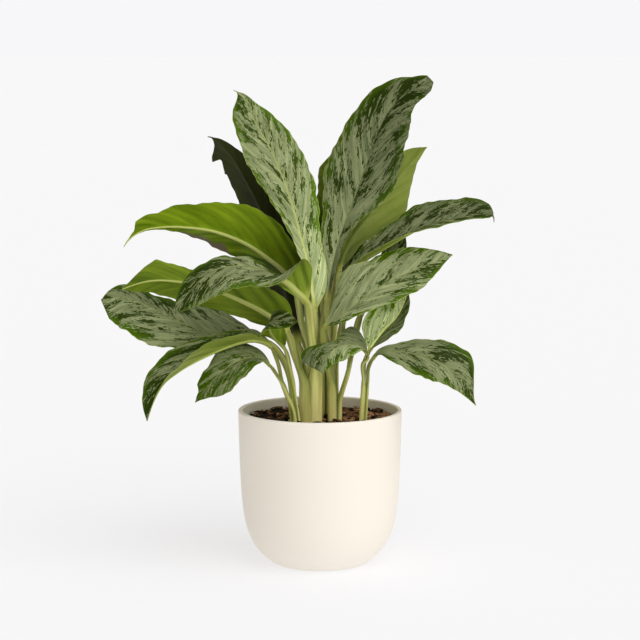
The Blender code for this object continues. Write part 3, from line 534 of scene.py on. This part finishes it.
def make_stalk(form):
    distances = np.linspace(0, form.blade_at + UNDER_BLADE, STALK_ROWS)
    origins, sides, uppers = form.frames(distances)
    rings, run, age, rim = [], [], [], []
    for n, distance in enumerate(distances):
        opened = float(smooth((distance - form.parts_at + OPENING_OUT * 0.4) / OPENING_OUT))
        across, up, round_at = stalk_section(form.leaf, opened, distance)
        narrowed = mix(1, RIB_SHARE * NARROWED, smooth((distance - form.blade_at + NARROWING) / NARROWING))
        rings.append(origins[n] + np.outer(across * narrowed, sides[n]) - np.outer(up * narrowed, uppers[n]))
        run.append(np.stack(np.broadcast_arrays(round_at, distance, form.seed), -1))
        age.append(np.full(len(round_at), distance / form.blade_at))
        rim.append(np.abs(round_at) / np.abs(round_at).max())
    points, run, age, rim = [np.concatenate(values) for values in (rings, run, age, rim)]
    faces = tube_faces(STALK_ROWS, INSIDE_POINTS + OUTSIDE_POINTS)
    add_piece(f"stalk_{form.number}", points, faces, {"run": run, "age": age, "rim": rim}, "stalk")


def half_width(widths, s):
    """Widths of one half of a blade at shares of its length, on a smooth curve."""
    at, values = np.array(SHARES), np.array([0, *widths, 0], float)
    slopes = np.zeros(len(values))
    slopes[1:-1] = (values[2:] - values[:-2]) / (at[2:] - at[:-2])
    slopes[0] = 2 * values[1] / at[1] - slopes[1]
    slopes[-1] = -2 * values[-2] / (1 - at[-2]) - slopes[-2]
    i = np.clip(np.searchsorted(at, s) - 1, 0, len(at) - 2)
    reach = at[i + 1] - at[i]
    return hermite(values[i], values[i + 1], slopes[i] * reach, slopes[i + 1] * reach, (s - at[i]) / reach)


def blade_half(form, s, hand, widths):
    """Upper points, lower points and attributes of one half of a blade, from its rib to its margin."""
    leaf, seed = form.leaf, form.seed
    origin, side, upper = form.frames(form.places(s))
    slimmed = 1 - TIP_NARROWING * np.clip((s - 1) / max(form.reach - 1, 0.001), 0, 1)
    s = np.minimum(s, 1)
    rib, depth = form.rib(s)
    rib = (rib * slimmed)[:, None]
    half = half_width(widths, s)
    if (form.number, hand) in TORN:
        percents, torn = np.transpose([*TORN[form.number, hand], (100, 0)])
        half = np.where(s < percents[0] / 100, half, np.interp(s, percents / 100, torn))
    full = np.sin(math.pi * s)
    half = half + margin_swing(s * form.blade_length, seed + hand) * full
    half = np.maximum(half[:, None], rib + MARGIN_WIDTH * slimmed[:, None])
    web = [mix(rib * RIB_COLUMNS[-1], half, share) for share in WEB_COLUMNS]
    distance = np.concatenate([rib * share for share in RIB_COLUMNS] + web, axis=1)
    share = distance / half
    fold = np.radians(mix(leaf.fold[0], leaf.fold[1], s))[:, None]
    turn = math.radians(leaf.arch) / half
    slope = fold - turn * distance
    height, count, phase = leaf.wave
    swing = np.sin(2 * math.pi * count * s + phase + 1.9 * hand) * full
    up = (np.cos(slope) - np.cos(fold)) / turn + height * share**2 * swing[:, None]
    across = (np.sin(fold) - np.sin(slope)) / turn
    run = s[:, None] * form.blade_length
    slant = run - distance * (VEIN_SLANT + VEIN_CURVE * share)
    ripple = np.sin(run * 0.21 + seed * 3 + hand) * np.sin(run * 0.083 + seed) * RIPPLE
    relief = vein_relief(slant, distance, rib, share) + ripple * share**2 * full[:, None]
    groove = GROOVE_DEPTH * np.exp(-((distance / rib) ** 2) * 1.6) * rib / rib.max()
    thick = mix(BLADE_THICKNESS, MARGIN_THICKNESS, share**3)
    bulge = (depth[:, None] - BLADE_THICKNESS) * rib_bulge(distance / rib)
    side, upper = side[:, None] * hand, upper[:, None]
    down = upper * np.cos(slope)[..., None] - side * np.sin(slope)[..., None]
    sheet = origin[:, None] + side * across[..., None] + upper * up[..., None] + down * relief[..., None]
    top = sheet - down * groove[..., None]
    bottom = sheet - down * (thick + bulge)[..., None]
    path = form.pattern(slant, distance + HALVES_APART * (hand > 0))
    return top, bottom, path, share, distance / rib


def margin_swing(run, seed):
    """How far a margin swings in and out along its run, slowly and quickly."""
    return sum(height * np.sin(run * pace + seed * phase) for height, pace, phase in MARGIN_SWINGS)


def rib_bulge(reach):
    """How far the rib stands out below, from its middle to its soft foot."""
    return np.exp(-(np.abs(reach) ** 2.6) * 1.5)


def vein_relief(slant, distance, rib, share):
    """The web sinks along each side vein and swells between them."""
    wave = np.cos(2 * math.pi * slant / VEIN_SPACING)
    shape = -np.maximum(0, wave) ** 3 + 0.25
    return VEIN_DEPTH * shape * smooth(distance / rib - 1) * smooth((1 - share) * 4)


def make_blade(form):
    look, seed = Look(*LOOKS.get(form.number, PLAIN_LOOK)), form.seed
    s = np.linspace(0, 1, BLADE_ROWS)
    if form.number in TIPS:
        s = np.concatenate([s, np.linspace(1, form.reach, DRY_TIP_ROWS + 1)[1:]])
    left, right = blade_half(form, s, -1, form.leaf.left), blade_half(form, s, 1, form.leaf.right)
    parts = zip(left, blade_middle(form, s), right)
    top, bottom, path, share, reach = [np.concatenate([a[:, ::-1], m, b], axis=1) for a, m, b in parts]
    halves = share.shape[1] // 2
    along = s[:, None]
    green, dry, shade = np.zeros(share.shape), np.zeros(share.shape), np.ones(share.shape)
    for hand, part in ((-1, slice(halves)), (1, slice(halves + 1, None))):
        green[:, part] = margin_green(s, hand, seed)
        shade[:, part] = mix(SHADED.get((form.number, hand), 1), 1, smooth(along * 2.6))
        if (form.number, hand) in DRY_MARGINS:
            start, end = DRY_MARGINS[form.number, hand]
            dry[:, part] = smooth((along - start) * 8) * smooth((end - along) * 8) * share[:, part]
    # Painted shade at the base of the halves in SHADED, then painted light or shade over the whole base,
    # with the leaf's own tone there
    shade *= mix(look.base, 1, smooth(along * 1.5))
    # Painted light and shade on each half, over its own tone
    half_tones_and_light = np.array([look.left] * halves + [(look.left + look.right) / 2] + [look.right] * halves)
    toward_tip, toward_base = smooth((along - 0.55) / 0.4), smooth(1 - along / 0.45)
    silver = look.silver + 0.14 - green * share**2 - 0.15 * toward_tip + 0.24 * toward_base
    foot = smooth(1 - along / FOOT_SHARE)
    both = {"silver": silver, "share": share, "rib": reach, "dry": dry, "foot": foot}
    both |= {"fresh": look.fresh, "lime": look.lime}
    above = both | {"tone_and_painted_light": half_tones_and_light * shade, "rib_pale": look.rib, "under": 0}
    below = both | {"tone_and_painted_light": look.under * shade, "rib_pale": look.keel, "under": 1}
    attributes = {"vein_path": np.reshape([path, path], (-1, 3))}
    for key in above:
        attributes[key] = np.ravel([np.broadcast_to(side[key], share.shape) for side in (above, below)])
    points = np.reshape([top, bottom], (-1, 3))
    add_piece(f"leaf_{form.number}", points, slab_faces(*share.shape), attributes, "leaf")


def margin_green(s, hand, seed):
    """How much green gathers along a margin, which comes and goes along the blade."""
    return np.array([[0.32 + 0.5 * noise.noise((5.0 * place, 9.0 * hand, seed * 3.1))] for place in s])


def blade_middle(form, s):
    """The line along the middle of the rib, in the form that blade_half gives."""
    origin, _, upper = form.frames(form.places(s))
    s = np.minimum(s, 1)
    rib, depth = form.rib(s)
    top = origin - upper * (GROOVE_DEPTH * rib / rib.max())[:, None]
    bottom = origin - upper * depth[:, None]
    path = form.pattern(s * form.blade_length, HALVES_APART / 2)
    flat = np.zeros((len(s), 1))
    return top[:, None], bottom[:, None], path[:, None], flat, flat


def make_cane(name, shoot):
    """The stem inside a shoot's sheaths, from the foot of its hole to a blunt top."""
    stations = [(SHOOT_FOOT, 1), (SOIL_LEVEL, 1), *((shoot.top - drop, share) for drop, share in CANE_TOP)]
    points, run = [], []
    for height, share in stations:
        middle = shoot_axis(shoot, height)
        for k in range(CANE_SIDES):
            points.append(middle + outward(360 * k / CANE_SIDES) * shoot.core * share)
            run.append((shoot.core * 2 * math.pi * k / CANE_SIDES, height, shoot.x))
    attributes = {"run": run, "age": np.full(len(run), CANE_AGE)}
    add_piece(f"cane_{name}", points, tube_faces(len(stations), CANE_SIDES), attributes, "stalk")


def pot_outer_radius(height):
    wall = POT_RIM_RADIUS - POT_TAPER * (POT_HEIGHT - height)
    foot_drop = POT_RIM_RADIUS - POT_TAPER * POT_HEIGHT - FOOT_RADIUS
    return wall - foot_drop * math.exp(-height / FOOT_ROUNDING)


def pot_inner_radius(height):
    risen = min(1.0, max(0.0, (height - POT_FLOOR) / FLOOR_ROUNDING))
    return pot_outer_radius(height) - mix(POT_WALL * FLOOR_WALL_SHARE, POT_WALL, risen)


def turned(profile, sides):
    """Points and faces of a profile of (radius, height) turned round Z, from the axis and back to it."""
    around = [outward(360 * k / sides) for k in range(sides)]
    rings = [[point * radius + (0, 0, z) for point in around] for radius, z in profile[1:-1]]
    points = [point for ring in rings for point in ring]
    *faces, first, last = tube_faces(len(rings), sides)
    for cap, (_, z) in ((first, profile[0]), (last, profile[-1])):
        faces += [(len(points), a, b) for a, b in zip(cap, cap[1:] + cap[:1])]
        points.append((0, 0, z))
    return points, faces


def make_pot():
    lip_height = POT_HEIGHT - LIP_RADIUS
    shares = [(n / OUTER_ROWS) ** 1.5 for n in range(OUTER_ROWS + 1)]
    outer = [(pot_outer_radius(z), z) for z in (FOOT_BEVEL + (lip_height - FOOT_BEVEL) * n for n in shares)]
    arc = [LIP_RADIUS * outward(15 * n) for n in range(1, 7)]
    lip = [(POT_RIM_RADIUS - LIP_RADIUS + x, lip_height + y) for x, y, _ in arc]
    lip += [(POT_RIM_RADIUS - POT_WALL + LIP_RADIUS - y, lip_height + x) for x, y, _ in arc]
    inner = [(pot_inner_radius(z), z) for z in np.linspace(lip_height - 1, INNER_LOWEST, INNER_ROWS)]
    ring = FOOT_RADIUS - FOOT_RING
    foot = [(0, FOOT_HOLLOW), (ring - 1, FOOT_HOLLOW), (ring, 0), (FOOT_RADIUS - FOOT_BEVEL, 0)]
    floor = [(FOOT_RADIUS - POT_WALL, POT_FLOOR), (0, POT_FLOOR)]
    points, faces = turned([*foot, *outer, *lip, *inner, *floor], POT_SIDES)
    add_piece("pot", points, faces, {}, "pot")


def crumb_rise(x, y):
    """How far bark and peat stand up from the level of the soil at a point."""
    point = Vector((x, y, SOIL_LEVEL))
    coarse = noise.noise(point / (CRUMB_SIZE * 1.7)) + 0.35
    lumps = 1 - 2 * noise.voronoi(point / CRUMB_SIZE)[0][0]
    fine = sum(noise.noise(point / size) * height for size, height in GRAINS)
    return CRUMB_HEIGHT * (0.45 * coarse + 0.55 * max(0.0, lumps)) - SOIL_SINK * 0.3 + fine


def in_shoot(x, y, room):
    return any(math.hypot(x - s.x, y - s.y) < s.radius + room for s in SHOOTS.values())


def make_soil():
    low = POT_FLOOR + GAP
    side = [(pot_inner_radius(z) - SOIL_CLEARANCE, z) for z in (*SOIL_ROWS, SOIL_LEVEL - SOIL_SINK)]
    edge = side[-1][0]
    top = [(edge * (1 - n / SOIL_RINGS), SOIL_LEVEL) for n in range(1, SOIL_RINGS)]
    profile = [(0, low), (FOOT_RADIUS - POT_WALL - 1, low), *side, *top, (0, SOIL_LEVEL)]
    points, faces = turned(profile, SOIL_SIDES)
    shaped = []
    for x, y, z in points:
        if z > SOIL_LEVEL - SOIL_SINK / 2:
            z = SOIL_LEVEL - ROOT_DEPTH if in_shoot(x, y, HOLE_CLEARANCE) else z + crumb_rise(x, y)
        shaped.append((x, y, z))
    add_piece("soil", shaped, faces, {"tint": np.full(len(shaped), SOIL_TINT)}, "soil")


def on_soil(draw, room):
    """A seeded place on the soil, clear of the pot's wall and the shoots."""
    while True:
        radius = (POT_RIM_RADIUS - POT_WALL - WALL_ROOM) * math.sqrt(draw.random())
        turn = draw.uniform(0, 2 * math.pi)
        x, y = radius * math.cos(turn), radius * math.sin(turn)
        if not in_shoot(x, y, room):
            return x, y


def inside_pot(point):
    """A point of a loose lump, moved inwards where it would reach into the pot's wall."""
    room = pot_inner_radius(SOIL_LEVEL) - SOIL_CLEARANCE
    share = min(1.0, room / max(1.0, math.hypot(point.x, point.y)))
    return point.x * share, point.y * share, point.z


def chip(draw, size, height):
    """A broken lump: eight corners below and eight above, each pushed in or out."""
    half = [size * part * draw.uniform(*share) for part, share in zip((1, 1, height), CHIP_SHARES)]
    points = []
    for corner in [(i, j, k) for k in (-1, 1) for i, j in CHIP_OUTLINE]:
        points.append(Vector([h * c * draw.uniform(*CHIP_ROUGHNESS) for h, c in zip(half, corner)]))
    return points, tube_faces(2, len(CHIP_OUTLINE))


def scatter(name, litter, make, slot="soil"):
    """Many small lumps on the soil, in one piece, each with its own tint."""
    draw = random.Random(litter.seed)
    points, faces, tints = [], [], []
    for _ in range(litter.count):
        x, y = on_soil(draw, litter.room)
        lump, lump_faces, lift = make(draw)
        turn = Matrix.Rotation(draw.uniform(0, LUMP_SPIN), 3, "Z")
        turn = turn @ Matrix.Rotation(draw.uniform(-LUMP_TILT, LUMP_TILT), 3, "X")
        middle = Vector((x, y, SOIL_LEVEL + crumb_rise(x, y) + lift))
        start = len(points)
        points += [inside_pot(middle + turn @ p) for p in lump]
        faces += [tuple(start + i for i in face) for face in lump_faces]
        # Lumps grow paler from left to right across the pot
        tints += [draw.uniform(*litter.tint) + PALER_TO_RIGHT * x / POT_RIM_RADIUS] * len(lump)
    add_piece("soil", points, faces, {"tint": tints}, slot, name, LUMP_CREASE)


def bark_chip(draw):
    size = mix(*CHIP_SIZES, draw.random() ** 1.8)
    return *chip(draw, size, 1), size * CHIP_LIFT


def grit(draw):
    return *chip(draw, draw.uniform(*GRIT_SIZES), GRIT_HEIGHT), GRIT_LIFT


def strand(draw):
    """A coir fibre: a thin square tube along a bent line."""
    length, bend, thick, rise = [draw.uniform(*limits) for limits in STRAND_RANGES]
    points = []
    for n in range(STRAND_STEPS + 1):
        u = n / STRAND_STEPS
        turn = bend * (u - 0.5) * 2
        across = length * 0.25 * math.cos(turn) * bend
        middle = Vector((length * (u - 0.5), across, rise * math.sin(math.pi * u)))
        width = thick * (1 - 0.6 * abs(2 * u - 1) ** 3)
        points += [middle + Vector((0, width * math.cos(a), width * math.sin(a))) for a in STRAND_CORNERS]
    return points, tube_faces(STRAND_STEPS + 1, len(STRAND_CORNERS)), STRAND_LIFT


def linear(red, green, blue):
    """A colour as seen on screen, 0 to 255, in linear light."""
    shares = [c / 255 for c in (red, green, blue)]
    return *(((c + 0.055) / 1.055) ** 2.4 if c > 0.04 else c / 12.92 for c in shares), 1.0


class Finish:
    """A procedural material. Each call adds a node and gives the output that the next one takes."""

    def __init__(self, name):
        self.material = bpy.data.materials.new(name)
        self.material.use_nodes = True
        self.tree = self.material.node_tree
        self.shader = self.tree.nodes["Principled BSDF"]

    def node(self, kind, inputs, **settings):
        made = self.tree.nodes.new("ShaderNode" + kind)
        for key, value in settings.items():
            setattr(made, key, value)
        for key, value in inputs.items():
            self.feed(made.inputs[key], value)
        return made

    def feed(self, socket, value):
        if isinstance(value, bpy.types.NodeSocket):
            self.tree.links.new(value, socket)
        else:
            socket.default_value = value

    def set(self, **inputs):
        for key, value in inputs.items():
            self.feed(self.shader.inputs[key.replace("_", " ")], value)

    def attribute(self, name, output="Fac"):
        return self.node("Attribute", {}, attribute_name=name).outputs[output]

    def place(self):
        return self.node("TexCoord", {}).outputs["Object"]

    def noise(self, where, scale, detail=2, distortion=0):
        """Noise from 0 to 1, with its own scale along each of the three coordinates."""
        moved = self.node("VectorMath", {0: where, 1: scale}, operation="MULTIPLY").outputs[0]
        inputs = {"Vector": moved, "Scale": 1, "Detail": detail, "Distortion": distortion}
        return self.node("TexNoise", inputs).outputs["Fac"]

    def math(self, operation, *values):
        return self.node("Math", dict(enumerate(values)), operation=operation).outputs[0]

    def times(self, a, b):
        return self.math("MULTIPLY", a, b)

    def add_up(self, base, *parts):
        """base plus each (value, weight), with the value counted from its middle, 0.5."""
        for value, weight in parts:
            base = self.math("MULTIPLY_ADD", self.math("SUBTRACT", value, 0.5), weight, base)
        return base

    def ramp(self, value, *stops):
        made = self.node("ValToRGB", {"Fac": value})
        elements = made.color_ramp.elements
        while len(elements) < len(stops):
            elements.new(0.5)
        for element, (position, colour) in zip(elements, stops):
            element.position = position
            element.color = colour
        return made.outputs["Color"]

    def step(self, value, start, end, low=0, high=1):
        """Eases from low to high as the value goes from start to end."""
        inputs = {"Value": value, "From Min": start, "From Max": end, "To Min": low, "To Max": high}
        return self.node("MapRange", inputs, interpolation_type="SMOOTHSTEP").outputs["Result"]

    def blend(self, share, a, b):
        return self.node("MixRGB", {"Fac": share, "Color1": a, "Color2": b}).outputs[0]

    def scale(self, colour, value):
        return self.node("VectorMath", {0: colour, "Scale": value}, operation="SCALE").outputs[0]

    def bump(self, height, strength, depth):
        made = self.node("Bump", {"Height": height, "Strength": strength, "Distance": depth * MM})
        self.feed(self.shader.inputs["Normal"], made.outputs["Normal"])


DEEP_GREEN = linear(46, 64, 0)
LEAF_GREEN = linear(78, 110, 0)
GREY_GREEN = linear(104, 116, 76)
SILVER = linear(142, 152, 106)
PALE_SILVER = linear(178, 187, 134)
OLIVE = linear(132, 145, 66)
# Darker olive and lime for the painted shade in the bands along the veins below
OLIVE_PAINTED_SHADE = linear(100, 114, 40)
LIME = linear(134, 160, 24)
LIME_PAINTED_SHADE = linear(72, 98, 0)
PALE_RIB = linear(190, 198, 110)
STALK_PALE = linear(228, 228, 140)
DRY_LEAF = linear(112, 102, 78)
STALK_GREEN = linear(174, 178, 88)
STALK_FOOT = linear(234, 220, 148)
# Darker green at a stalk's sides: partly its own colour, partly painted shade of the rounded sides
STALK_RIM_SHADE = linear(96, 116, 36)
SPECK = linear(104, 84, 44)
WET_PEAT = linear(14, 12, 8)
PEAT = linear(44, 33, 21)
BARK = linear(142, 102, 68)
DRY_BARK = linear(196, 152, 112)
GRIT_DARK = linear(190, 172, 146)
GRIT_PALE = linear(240, 230, 212)
GLAZE_DARK = linear(243, 235, 220)
GLAZE_PALE = linear(249, 243, 232)
FLOOR_PALE = linear(172, 172, 174)
BACKDROP = linear(247, 247, 249)
SKY = (1, 0.94, 0.87, 1)


@cache
def leaf_finish():
    """Silver with dark green flecks along the side veins above, olive to lime below with painted shade in
    bands along the veins.
    """
    m = Finish("leaf")
    path = m.attribute("vein_path", "Vector")
    patches = m.noise(path, (0.05, 0.07, 1), 1)
    flecks = m.noise(path, (0.19, 0.3, 1), 1.5, 0.7)
    dashes = m.noise(path, (0.45, 0.7, 1), 1, 0.5)
    hairs = m.noise(path, (0.5, 0.07, 1), 1.5)
    streaks = m.noise(path, (0.12, 0.05, 1), 1.5, 0.6)
    bands = m.noise(path, (0.045, 0.01, 1), 1)
    share = m.attribute("share")
    level = m.add_up(m.attribute("silver"), (patches, 1.9), (flecks, 1.6), (dashes, 1.1))
    fresh = m.step(share, 0.55, 1, m.attribute("fresh"), 1)
    fresh = m.add_up(fresh, (patches, 1.2), (dashes, 0.9))
    green = m.blend(fresh, DEEP_GREEN, LEAF_GREEN)
    tint = m.add_up(0.45, (streaks, 1.6), (hairs, 0.7))
    silver = m.ramp(tint, (0, GREY_GREEN), (0.5, SILVER), (1, PALE_SILVER))
    above = m.blend(m.step(level, 0.4, 0.54), green, silver)
    rib = m.attribute("rib")
    rib_pale = m.attribute("rib_pale")
    above = m.blend(m.times(m.step(rib, 0.95, 0.35), rib_pale), above, PALE_RIB)
    above = m.blend(m.times(m.step(share, 0.975, 0.998), 0.5), above, PALE_RIB)
    # Painted shade below: bands along the veins, with faint stripes of their own, darken the olive and lime
    vein_bands_and_shade = m.add_up(0.5, (flecks, 0.3), (hairs, 0.4), (patches, 0.9), (bands, 2))
    olive = m.blend(vein_bands_and_shade, OLIVE_PAINTED_SHADE, OLIVE)
    lime = m.blend(vein_bands_and_shade, LIME_PAINTED_SHADE, LIME)
    # The lime share: the underside's own yellower green, with painted light shining through it
    below = m.blend(m.attribute("lime"), olive, lime)
    below = m.blend(m.times(m.step(rib, 1.25, 0.8), rib_pale), below, PALE_RIB)
    colour = m.blend(m.attribute("under"), above, below)
    # Painted light and shade: the colour is scaled by each half's brightness and by its shade at the base
    colour = m.scale(colour, m.attribute("tone_and_painted_light"))
    colour = m.blend(m.attribute("foot"), colour, STALK_GREEN)
    dry = m.step(m.add_up(m.attribute("dry"), (patches, 0.9)), 0.58, 0.74)
    colour = m.blend(dry, colour, DRY_LEAF)
    m.set(Base_Color=colour, Roughness=m.step(flecks, 0.3, 0.7, 0.42, 0.52), Specular_IOR_Level=0.08)
    m.bump(m.add_up(0.5, (hairs, 0.6), (flecks, 0.3)), 0.35, 0.15)
    return m.material


@cache
def stalk_finish():
    """Pale yellow green with fine streaks along it, greener towards the blade, darker green at its sides
    with painted shade, and small brown specks.
    """
    m = Finish("stalk")
    run = m.attribute("run", "Vector")
    streaks = m.noise(run, (0.75, 0.018, 1), 3)
    fine = m.noise(run, (3, 0.05, 1), 2)
    clouds = m.noise(run, (0.28, 0.012, 1), 1)
    level = m.add_up(0.5, (streaks, 1.8), (fine, 0.8), (clouds, 2.4))
    age = m.attribute("age")
    colour = m.blend(level, STALK_GREEN, STALK_PALE)
    colour = m.blend(m.step(age, 0.62, 0.15, 0, 0.75), colour, STALK_FOOT)
    # Painted shade on the rounded sides of the stalk, over their own darker green
    rim = m.step(m.add_up(m.attribute("rim"), (streaks, 0.9), (clouds, 0.9)), 0.48, 1.05, 0, 0.75)
    colour = m.blend(rim, colour, STALK_RIM_SHADE)
    specks = m.step(m.noise(run, (0.9, 0.45, 1), 1), 0.71, 0.77)
    colour = m.blend(m.times(specks, m.step(age, 0.9, 0.5)), colour, SPECK)
    colour = m.scale(colour, m.step(age, 0.45, 0.95, 1.08, 0.74))
    m.set(Base_Color=colour, Roughness=m.step(streaks, 0.3, 0.7, 0.4, 0.5), Specular_IOR_Level=0.2)
    m.bump(m.add_up(0.5, (streaks, 0.8), (fine, 0.5)), 0.4, 0.2)
    return m.material


@cache
def soil_finish():
    """Dark peat and reddish brown bark, rough all over."""
    m = Finish("soil")
    place = m.place()
    grain = m.noise(place, (900, 900, 900), 3)
    coarse = m.noise(place, (160, 160, 160), 2)
    level = m.add_up(m.attribute("tint"), (grain, 0.7), (coarse, 0.9))
    colour = m.ramp(level, (0, WET_PEAT), (0.36, PEAT), (0.66, BARK), (1, DRY_BARK))
    m.set(Base_Color=colour, Roughness=0.9, Specular_IOR_Level=0.15)
    m.bump(m.add_up(0.5, (grain, 1)), 0.6, 0.5)
    return m.material


@cache
def grit_finish():
    m = Finish("grit")
    grain = m.noise(m.place(), (1500, 1500, 1500), 2)
    m.set(Base_Color=m.blend(grain, GRIT_DARK, GRIT_PALE), Roughness=0.8)
    return m.material


@cache
def pot_finish():
    """Matt cream glaze with a faint mottle and fine grain."""
    m = Finish("pot")
    place = m.place()
    clouds = m.noise(place, (9, 9, 14), 2)
    grain = m.noise(place, (700, 700, 700), 2)
    level = m.add_up(0.5, (clouds, 0.7), (grain, 0.25))
    m.set(Base_Color=m.blend(level, GLAZE_DARK, GLAZE_PALE), Roughness=0.62)
    m.bump(m.add_up(0.5, (grain, 0.6), (clouds, 0.5)), 0.12, 0.3)
    return m.material


MATERIALS = {
    "leaf": leaf_finish, "stalk": stalk_finish, "pot": pot_finish,
    "soil": soil_finish, "soil_grit": grit_finish,
}

# Camera, with its places in metres
LENS = 122.5
CAMERA_PLACE = (0, -2.1, 0.51)
CAMERA_TARGET = (0, 0, 0.2387)

# Lights: where each comes from, its power, its spread in degrees and its colour
LIGHTS = {
    "key": ((1, -1.3, 1.5), 1.75, 70, (0.985, 0.997, 1)),
    "top": ((0.2, 0.8, 2), 0.39, 60, (1, 1, 1)),
}
SKY_POWER = 0.44
FLOOR_GLOW = 0.6
FLOOR_SIDES = 96
FLOOR_PROFILE = [(0, -20), (60000, -20), (60000, -0.5), (2600, -0.5), (0, -0.5)]


def aim(obj, target):
    obj.rotation_euler = (Vector(target) - obj.location).to_track_quat("-Z", "Y").to_euler()


def add_camera():
    data = bpy.data.cameras.new("camera")
    data.lens = LENS
    camera = add_object("camera", data)
    camera.location = CAMERA_PLACE
    aim(camera, CAMERA_TARGET)
    bpy.context.scene.camera = camera


def add_light(name, towards, power, spread, colour):
    """A far soft light, even over the whole floor. Its spread softens the shadows."""
    data = bpy.data.lights.new(name, "SUN")
    data.energy, data.angle, data.color = power, math.radians(spread), colour
    lamp = add_object(name, data)
    lamp.location = towards
    aim(lamp, (0, 0, 0))


def add_floor():
    """A wide pale floor that glows a little, so it meets the backdrop without an edge."""
    m = Finish("floor")
    m.set(Base_Color=FLOOR_PALE, Roughness=0.9, Specular_IOR_Level=0.1)
    m.set(Emission_Color=BACKDROP, Emission_Strength=FLOOR_GLOW)
    floor = add_object("floor", make_mesh("floor", *turned(FLOOR_PROFILE, FLOOR_SIDES), m.material))


def add_world():
    """A warm even sky that the camera sees as a plain pale backdrop."""
    world = bpy.data.worlds.new("studio")
    world.use_nodes = True
    tree = world.node_tree
    sky, seen = tree.nodes["Background"], tree.nodes.new("ShaderNodeBackground")
    sky.inputs["Color"].default_value = SKY
    sky.inputs["Strength"].default_value = SKY_POWER
    seen.inputs["Color"].default_value = BACKDROP
    rays, chosen = tree.nodes.new("ShaderNodeLightPath"), tree.nodes.new("ShaderNodeMixShader")
    tree.links.new(rays.outputs["Is Camera Ray"], chosen.inputs[0])
    tree.links.new(sky.outputs[0], chosen.inputs[1])
    tree.links.new(seen.outputs[0], chosen.inputs[2])
    tree.links.new(chosen.outputs[0], tree.nodes["World Output"].inputs["Surface"])
    bpy.context.scene.world = world
    bpy.context.scene.view_settings.view_transform = "Standard"


def build():
    add_camera()
    add_floor()
    add_world()
    for name, light in LIGHTS.items():
        add_light(name, *light)
    make_pot()
    make_soil()
    scatter("bark_chips", BARK_CHIPS, bark_chip)
    scatter("coir_strands", COIR_STRANDS, strand)
    scatter("grit", GRIT, grit, "soil_grit")
    for name, shoot in SHOOTS.items():
        make_cane(name, shoot)
    for number, leaf in LEAVES.items():
        form = LeafForm(number, Leaf(*leaf))
        make_stalk(form)
        make_blade(form)


build()
